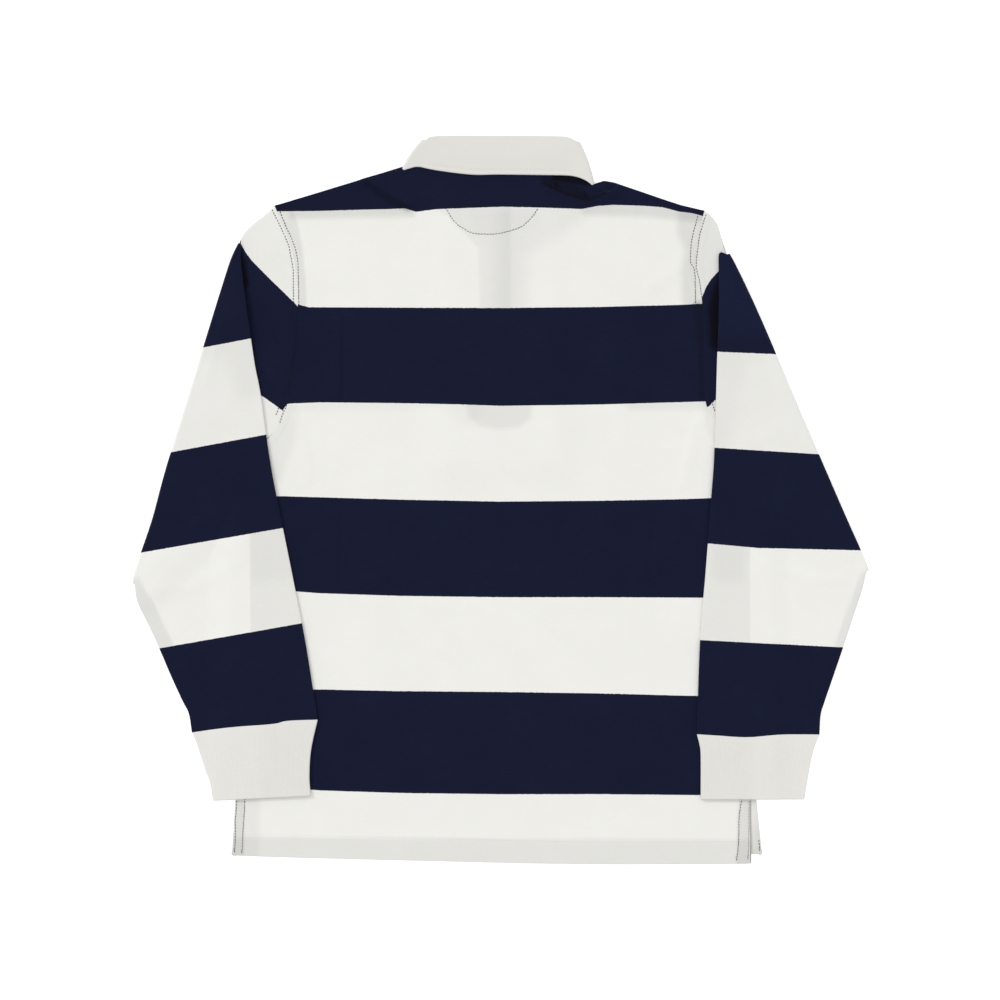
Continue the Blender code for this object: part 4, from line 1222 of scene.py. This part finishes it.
def sewn_line(name, path, tree, look, pitch=3.0, gap=0.6, width=0.95, below=False, slot="striped_jersey"):
    """A row of stitches that follows a plan path over, or under, the cloth."""
    length = np.linalg.norm(np.diff(curve(path, 80), axis=0), axis=1).sum()
    count = max(1, int(length / pitch))
    sunk = 0.3 if below else 0.0
    fine = curve(path, count * 8)
    direction = Vector((0, 0, 1 if below else -1))
    start_height = -0.05 if below else 0.05
    runs = []
    for k in range(count):
        places = fine[k * 8: k * 8 + 8]
        share = gap / pitch / 2
        ends = places[0] + share * (places[-1] - places[0]), places[-1] - share * (places[-1] - places[0])
        ends = [end + RANDOM.normal(0, 0.14, 2) for end in ends]
        run = []
        for t, dip in zip((0, 0.25, 0.5, 0.75, 1), (-0.22, 0.02, 0.08, 0.02, -0.22)):
            x, y = ends[0] + t * (ends[1] - ends[0])
            spot = place((x, y, 0.0))
            hit = tree.ray_cast(Vector((spot[0], spot[1], start_height)), direction)[0]
            if hit is None:
                break
            run.append((x, y, hit.z / MM + sunk + (-dip if below else dip)))
        if len(run) == 5:
            runs.append(run)
    thread_mesh(name, runs, width, look)


def offset_path(path, distance):
    """A path moved to its left by a distance."""
    path = np.asarray(path, dtype=float)
    along = unit(np.gradient(path, axis=0))
    return path + distance * np.stack([-along[:, 1], along[:, 0]], axis=1)


class Nodes:
    """Short names for building a material's node tree."""

    def __init__(self, material):
        self.tree = material.node_tree

    def add(self, kind, **settings):
        """A new node of this kind."""
        made = self.tree.nodes.new(kind)
        for key, value in settings.items():
            setattr(made, key, value)
        return made

    def link(self, source, target):
        self.tree.links.new(source, target)

    def math(self, operation, first, second=0.0):
        """The result of a sum on numbers or on other nodes' results."""
        made = self.add("ShaderNodeMath", operation=operation)
        for socket, value in zip(made.inputs, (first, second)):
            if isinstance(value, (int, float)):
                socket.default_value = value
            else:
                self.link(value, socket)
        return made.outputs[0]

    def ramp(self, value, low, high, to_low=0.0, to_high=1.0):
        """A value moved from the range low to high to the range to_low to to_high."""
        made = self.add("ShaderNodeMapRange")
        for name, limit in (("From Min", low), ("From Max", high), ("To Min", to_low), ("To Max", to_high)):
            made.inputs[name].default_value = limit
        self.link(value, made.inputs["Value"])
        return made.outputs["Result"]

    def attribute(self, name, output="Fac"):
        """What the cloth has at each point under this name."""
        made = self.add("ShaderNodeAttribute", attribute_type="GEOMETRY", attribute_name=name)
        return made.outputs[output]

    def mix(self, share, first, second):
        """The first colour, with this share of the second one."""
        made = self.add("ShaderNodeMix", data_type="RGBA", blend_type="MIX")
        for socket, value in ((made.inputs[0], share), (made.inputs[6], first), (made.inputs[7], second)):
            if isinstance(value, (tuple, float, int)):
                socket.default_value = value
            else:
                self.link(value, socket)
        return made.outputs[2]

    def noise(self, vector, scale, detail=3.0, rough=0.55):
        """Soft irregular values from 0 to 1."""
        made = self.add("ShaderNodeTexNoise")
        made.inputs["Scale"].default_value = scale
        made.inputs["Detail"].default_value = detail
        made.inputs["Roughness"].default_value = rough
        self.link(vector, made.inputs["Vector"])
        return made.outputs["Fac"]

    def stretched(self, vector, x, y):
        """Cloth coordinates times x and y."""
        made = self.add("ShaderNodeMapping", vector_type="POINT")
        made.inputs["Scale"].default_value = (x, y, 1.0)
        self.link(vector, made.inputs["Vector"])
        return made.outputs["Vector"]

    def scaled(self, colour, name):
        """A colour times the number that the cloth has at each point under this name."""
        made = self.add("ShaderNodeVectorMath", operation="SCALE")
        self.link(colour, made.inputs[0])
        self.link(self.attribute(name), made.inputs["Scale"])
        return made.outputs[0]


def new_material(name, roughness, sheen, specular):
    """A material, with a helper for its nodes and its shader."""
    material = bpy.data.materials.new(name)
    material.use_nodes = True
    shader = material.node_tree.nodes["Principled BSDF"]
    shader.inputs["Roughness"].default_value = roughness
    shader.inputs["Specular IOR Level"].default_value = specular
    shader.inputs["Sheen Weight"].default_value = sheen
    shader.inputs["Sheen Roughness"].default_value = 0.5
    return material, Nodes(material), shader


def add_bump(nodes, shader, height, strength, distance):
    """Let a height shape the shader's surface."""
    bump = nodes.add("ShaderNodeBump")
    bump.inputs["Strength"].default_value = strength
    bump.inputs["Distance"].default_value = distance
    nodes.link(height, bump.inputs["Height"])
    nodes.link(bump.outputs["Normal"], shader.inputs["Normal"])


def knit_height(nodes, cloth, wale, course):
    """The V-shaped loops of plain knitting, from cloth coordinates in metres."""
    split = nodes.add("ShaderNodeSeparateXYZ")
    nodes.link(cloth, split.inputs[0])
    across = nodes.math("MULTIPLY", split.outputs[0], 1 / wale)
    up = nodes.math("MULTIPLY", split.outputs[1], 1 / course)
    inside = nodes.math("ABSOLUTE", nodes.math("SUBTRACT", nodes.math("FRACT", across), 0.5))
    column = nodes.math("SINE", nodes.math("MULTIPLY", inside, 2 * math.pi))
    slanted = nodes.math("ADD", up, nodes.math("MULTIPLY", inside, 1.3))
    rows = nodes.math("SINE", nodes.math("MULTIPLY", slanted, 2 * math.pi))
    return nodes.math("ADD", nodes.math("MULTIPLY", column, 0.7), nodes.math("MULTIPLY", rows, 0.4))


WHITE_YARN = (0.8, 0.795, 0.76, 1)
NAVY_YARN = (0.0041, 0.0062, 0.0242, 1)


def striped_jersey():
    """Heavy cotton jersey in wide bands, with the loops of the knit, slub, a soft edge of fibre, and painted
    shade and highlight.
    """
    material, nodes, shader = new_material("striped_cotton_jersey", 0.9, 0.035, 0.12)
    cloth = nodes.attribute("cloth", "Vector")
    slub = nodes.noise(nodes.stretched(cloth, 60.0, 900.0), 1.0, 4.0, 0.6)
    cloudy = nodes.noise(cloth, 22.0, 3.0)
    jagged = nodes.noise(cloth, 700.0, 2.0)
    wander = nodes.math("MULTIPLY", nodes.math("SUBTRACT", jagged, 0.5), 0.012)
    stripe = nodes.math("ADD", nodes.attribute("stripe"), wander)
    wave = nodes.math("SINE", nodes.math("MULTIPLY", stripe, math.pi))
    navy = nodes.ramp(wave, 0.006, -0.006)
    white = nodes.mix(nodes.ramp(cloudy, 0.3, 0.7, 0.0, 0.5), WHITE_YARN, (0.765, 0.76, 0.722, 1.0))
    white = nodes.mix(nodes.ramp(slub, 0.35, 0.7, 0.0, 0.35), white, (0.83, 0.828, 0.80, 1.0))
    dark = nodes.mix(nodes.ramp(slub, 0.3, 0.75, 0.0, 0.8), NAVY_YARN, (0.0064, 0.0086, 0.0300, 1.0))
    dark = nodes.mix(nodes.ramp(cloudy, 0.35, 0.7, 0.0, 0.4), dark, (0.0034, 0.0048, 0.0190, 1.0))
    colour = nodes.mix(navy, nodes.scaled(white, "tone"), dark)
    # The colour times the painted shade and painted highlight that each point carries
    nodes.link(nodes.scaled(colour, "painted_shade_and_highlight"), shader.inputs["Base Color"])
    knit = knit_height(nodes, cloth, 0.00125, 0.00095)
    height = nodes.math("ADD", knit, nodes.math("MULTIPLY", slub, 0.8))
    add_bump(nodes, shader, height, 0.45, 0.00018)
    return material


def rib_knit():
    """The cuffs' off-white knit, with loops that run down each rib."""
    material, nodes, shader = new_material("off_white_rib_knit", 0.9, 0.04, 0.12)
    cloth = nodes.attribute("cloth", "Vector")
    cloudy = nodes.noise(cloth, 30.0, 3.0)
    streak = nodes.noise(nodes.stretched(cloth, 420.0, 12.0), 1.0, 3.0, 0.6)
    base = nodes.mix(nodes.ramp(cloudy, 0.3, 0.7, 0.0, 0.4), (0.735, 0.725, 0.685, 1.0),
                     (0.705, 0.695, 0.655, 1.0))
    base = nodes.mix(nodes.ramp(streak, 0.35, 0.7, 0.0, 0.5), base, (0.70, 0.69, 0.655, 1.0))
    nodes.link(nodes.scaled(base, "tone"), shader.inputs["Base Color"])
    knit = knit_height(nodes, cloth, 0.00132, 0.0010)
    add_bump(nodes, shader, nodes.math("ADD", knit, streak), 0.4, 0.0002)
    return material


def woven_twill():
    """The collar's off-white woven cotton: fine diagonal twill lines."""
    material, nodes, shader = new_material("off_white_cotton_twill", 0.85, 0.04, 0.15)
    cloth = nodes.attribute("cloth", "Vector")
    cloudy = nodes.noise(cloth, 26.0, 3.0)
    fine = nodes.noise(cloth, 1500.0, 2.0)
    base = nodes.mix(nodes.ramp(cloudy, 0.3, 0.7, 0.0, 0.5), (0.69, 0.683, 0.648, 1.0),
                     (0.665, 0.657, 0.622, 1.0))
    base = nodes.mix(nodes.ramp(fine, 0.3, 0.7, 0.0, 0.25), base, (0.73, 0.724, 0.695, 1.0))
    nodes.link(base, shader.inputs["Base Color"])
    split = nodes.add("ShaderNodeSeparateXYZ")
    nodes.link(cloth, split.inputs[0])
    diagonal = nodes.math("ADD", split.outputs[0], nodes.math("MULTIPLY", split.outputs[1], 0.7))
    lines = nodes.math("SINE", nodes.math("MULTIPLY", diagonal, 2 * math.pi / 0.0008))
    add_bump(nodes, shader, nodes.math("ADD", lines, fine), 0.35, 0.00012)
    return material


def thread_material(name, colour):
    """Twisted sewing thread."""
    material, nodes, shader = new_material(name, 0.75, 0.02, 0.15)
    where = nodes.add("ShaderNodeTexCoord").outputs["Object"]
    fibre = nodes.noise(where, 2500.0, 2.0)
    darker = tuple(0.6 * c for c in colour)
    nodes.link(nodes.mix(nodes.ramp(fibre, 0.3, 0.7), (*colour, 1.0), (*darker, 1.0)),
               shader.inputs["Base Color"])
    add_bump(nodes, shader, fibre, 0.5, 0.0001)
    return material


def moulded_plastic():
    """The buttons: off-white plastic with a faint pearly cloud."""
    material, nodes, shader = new_material("button_plastic_off_white", 0.32, 0.0, 0.5)
    where = nodes.add("ShaderNodeTexCoord").outputs["Object"]
    cloud = nodes.noise(where, 260.0, 3.0)
    nodes.link(nodes.mix(nodes.ramp(cloud, 0.3, 0.7), (0.80, 0.79, 0.75, 1.0), (0.72, 0.71, 0.67, 1.0)),
               shader.inputs["Base Color"])
    add_bump(nodes, shader, cloud, 0.1, 0.0002)
    return material


def build_stitching(navy_thread, white_thread):
    """Every sewn line that shows, on the back, on the sleeves and on the hidden front."""
    on_hem = {"pitch": 3.4, "width": 0.35}
    on_collar = {"width": 0.35, "slot": "white_woven_cotton"}
    upper = surface_tree(["back_cloth", "front_cloth", "sleeve_cloth_left", "sleeve_cloth_right"])
    for name, path in ARMHOLE_STITCHES.items():
        sewn_line("stitches_armhole_" + name, path, upper, navy_thread)
    sewn_line("stitches_half_moon", HALF_MOON, upper, navy_thread, width=0.9)
    for name, path in VENT_STITCHES.items():
        sewn_line("stitches_vent_" + name, path, upper, navy_thread,
                  width=0.6 if name == "right_outer" else 0.95)
        end = np.array(path[-1])
        tack = (end + (-0.8, 4.0), end + (0.3, 2.0), end + (-0.3, 0.6))
        sewn_line("tack_vent_" + name, tack, upper, navy_thread, pitch=1.2, gap=0.1, width=0.7)
    hem = offset_path(curve(HEM_BACK, 60), HEM_BAND)[2:-2]
    sewn_line("stitches_hem", hem, upper, white_thread, **on_hem)
    collar = surface_tree(["collar_fall"])
    edge = offset_path(curve(EDGE_BACK[1:-1], 50), COLLAR_STITCHES_IN)
    sewn_line("stitches_collar_back", edge, collar, white_thread, **on_collar)

    lower = surface_tree(["front_cloth", "sleeve_cloth_left", "sleeve_cloth_right", "collar_fall",
                          "placket_strip"])
    fine = {"below": True, "width": 0.7}
    for side, armhole, sign in (("left", ARMHOLE_LEFT, 1), ("right", ARMHOLE_RIGHT, -1)):
        for name, away in (("inner", -3.0), ("outer", 3.0)):
            path = offset_path(curve(armhole, 40), sign * away)
            sewn_line(f"stitches_front_armhole_{side}_{name}", path, lower, navy_thread, **fine)
    hem = offset_path(curve(HEM_FRONT, 60), HEM_BAND)[2:-2]
    sewn_line("stitches_front_hem", hem, lower, white_thread, below=True, **on_hem)
    half = PLACKET_WIDTH / 2 - 4.0
    for name, x in (("left", PLACKET_CENTRE - half), ("right", PLACKET_CENTRE + half)):
        path = ((x, PLACKET_TOP - 2), (x, 180.0), (x, PLACKET_BOTTOM + 8))
        sewn_line(f"stitches_placket_{name}", path, lower, navy_thread, **fine)
    for name, height in (("low", PLACKET_BOTTOM + 5.0), ("box", PLACKET_BOTTOM + 28.0)):
        path = ((PLACKET_CENTRE - half, height), (PLACKET_CENTRE, height), (PLACKET_CENTRE + half, height))
        sewn_line(f"stitches_placket_{name}", path, lower, navy_thread, **fine)
    for name, leaf, front, sign in (("left", EDGE_LEAF_LEFT, ROLL_LEAF_LEFT[-1], 1),
                                    ("right", EDGE_LEAF_RIGHT, ROLL_LEAF_RIGHT[-1], -1)):
        path = offset_path(curve(leaf, 40), sign * 5.0)[2:-4]
        sewn_line(f"stitches_leaf_{name}", path, lower, white_thread, below=True, **on_collar)
        path = offset_path(even((leaf[-1], front), 20), sign * 5.0)[3:-1]
        sewn_line(f"stitches_leaf_front_{name}", path, lower, white_thread, below=True, **on_collar)


def build_floor():
    """A plain pale floor, bright enough to read as the photo's white ground."""
    material, _, shader = new_material("pale_floor", 0.9, 0.0, 0.1)
    shader.inputs["Base Color"].default_value = (0.93, 0.93, 0.93, 1)
    shader.inputs["Emission Color"].default_value = (1, 1, 1, 1)
    shader.inputs["Emission Strength"].default_value = 0.35
    mesh = bpy.data.meshes.new("floor")
    half, height = 6.0, -0.2 * MM
    corners = [(x * half, y * half, height) for x, y in ((-1, -1), (1, -1), (1, 1), (-1, 1))]
    mesh.from_pydata(corners, [], [(0, 1, 2, 3)])
    mesh.materials.append(material)
    floor = bpy.data.objects.new("floor", mesh)
    bpy.context.scene.collection.objects.link(floor)


def add_sun(name, direction, spread_degrees, strength):
    """A broad even light from a direction, the same over the whole shirt."""
    data = bpy.data.lights.new(name, "SUN")
    data.angle = math.radians(spread_degrees)
    data.energy = strength
    made = bpy.data.objects.new(name, data)
    made.rotation_mode = "QUATERNION"
    made.rotation_quaternion = Vector(direction).to_track_quat("Z", "Y")
    bpy.context.scene.collection.objects.link(made)


def build_camera_and_light():
    """A long lens straight above the shirt, and broad soft light with a little side light."""
    photo_width = 1000 * PIXEL
    distance = 3.2
    data = bpy.data.cameras.new("camera")
    data.sensor_width = 36.0
    data.lens = 36.0 * distance / photo_width
    camera = bpy.data.objects.new("camera", data)
    camera.location = Vector(place((*PHOTO_MIDDLE, 0.0))) + Vector((0, 0, distance))
    camera.rotation_euler = (0, 0, 0)
    bpy.context.scene.collection.objects.link(camera)
    bpy.context.scene.camera = camera
    add_sun("overhead", (0.1, 0.2, 1.0), 100.0, 0.365)
    add_sun("side", (-1.0, 0.9, 1.0), 14.0, 0.78)
    world = bpy.data.worlds.new("studio")
    world.use_nodes = True
    world.node_tree.nodes["Background"].inputs["Color"].default_value = (1, 1, 1, 1)
    world.node_tree.nodes["Background"].inputs["Strength"].default_value = 0.85
    bpy.context.scene.world = world
    bpy.context.scene.view_settings.view_transform = "Standard"


def main():
    """Build the whole scene."""
    build_camera_and_light()
    build_floor()
    jersey, rib, twill = striped_jersey(), rib_knit(), woven_twill()
    navy_thread = thread_material("navy_sewing_thread", (0.006, 0.0078, 0.022))
    white_thread = thread_material("white_sewing_thread", (0.80, 0.795, 0.76))
    borders = body_borders()
    build_back(borders, jersey)
    build_front(borders, jersey)
    for side, sleeve in SLEEVES.items():
        build_sleeve(side, sleeve, borders, jersey, rib)
    build_collar(twill)
    build_placket(twill)
    plastic = moulded_plastic()
    for number, place_at in enumerate(BUTTON_PLACES, 1):
        build_button(number, place_at, plastic, white_thread)
    build_stitching(navy_thread, white_thread)


main()
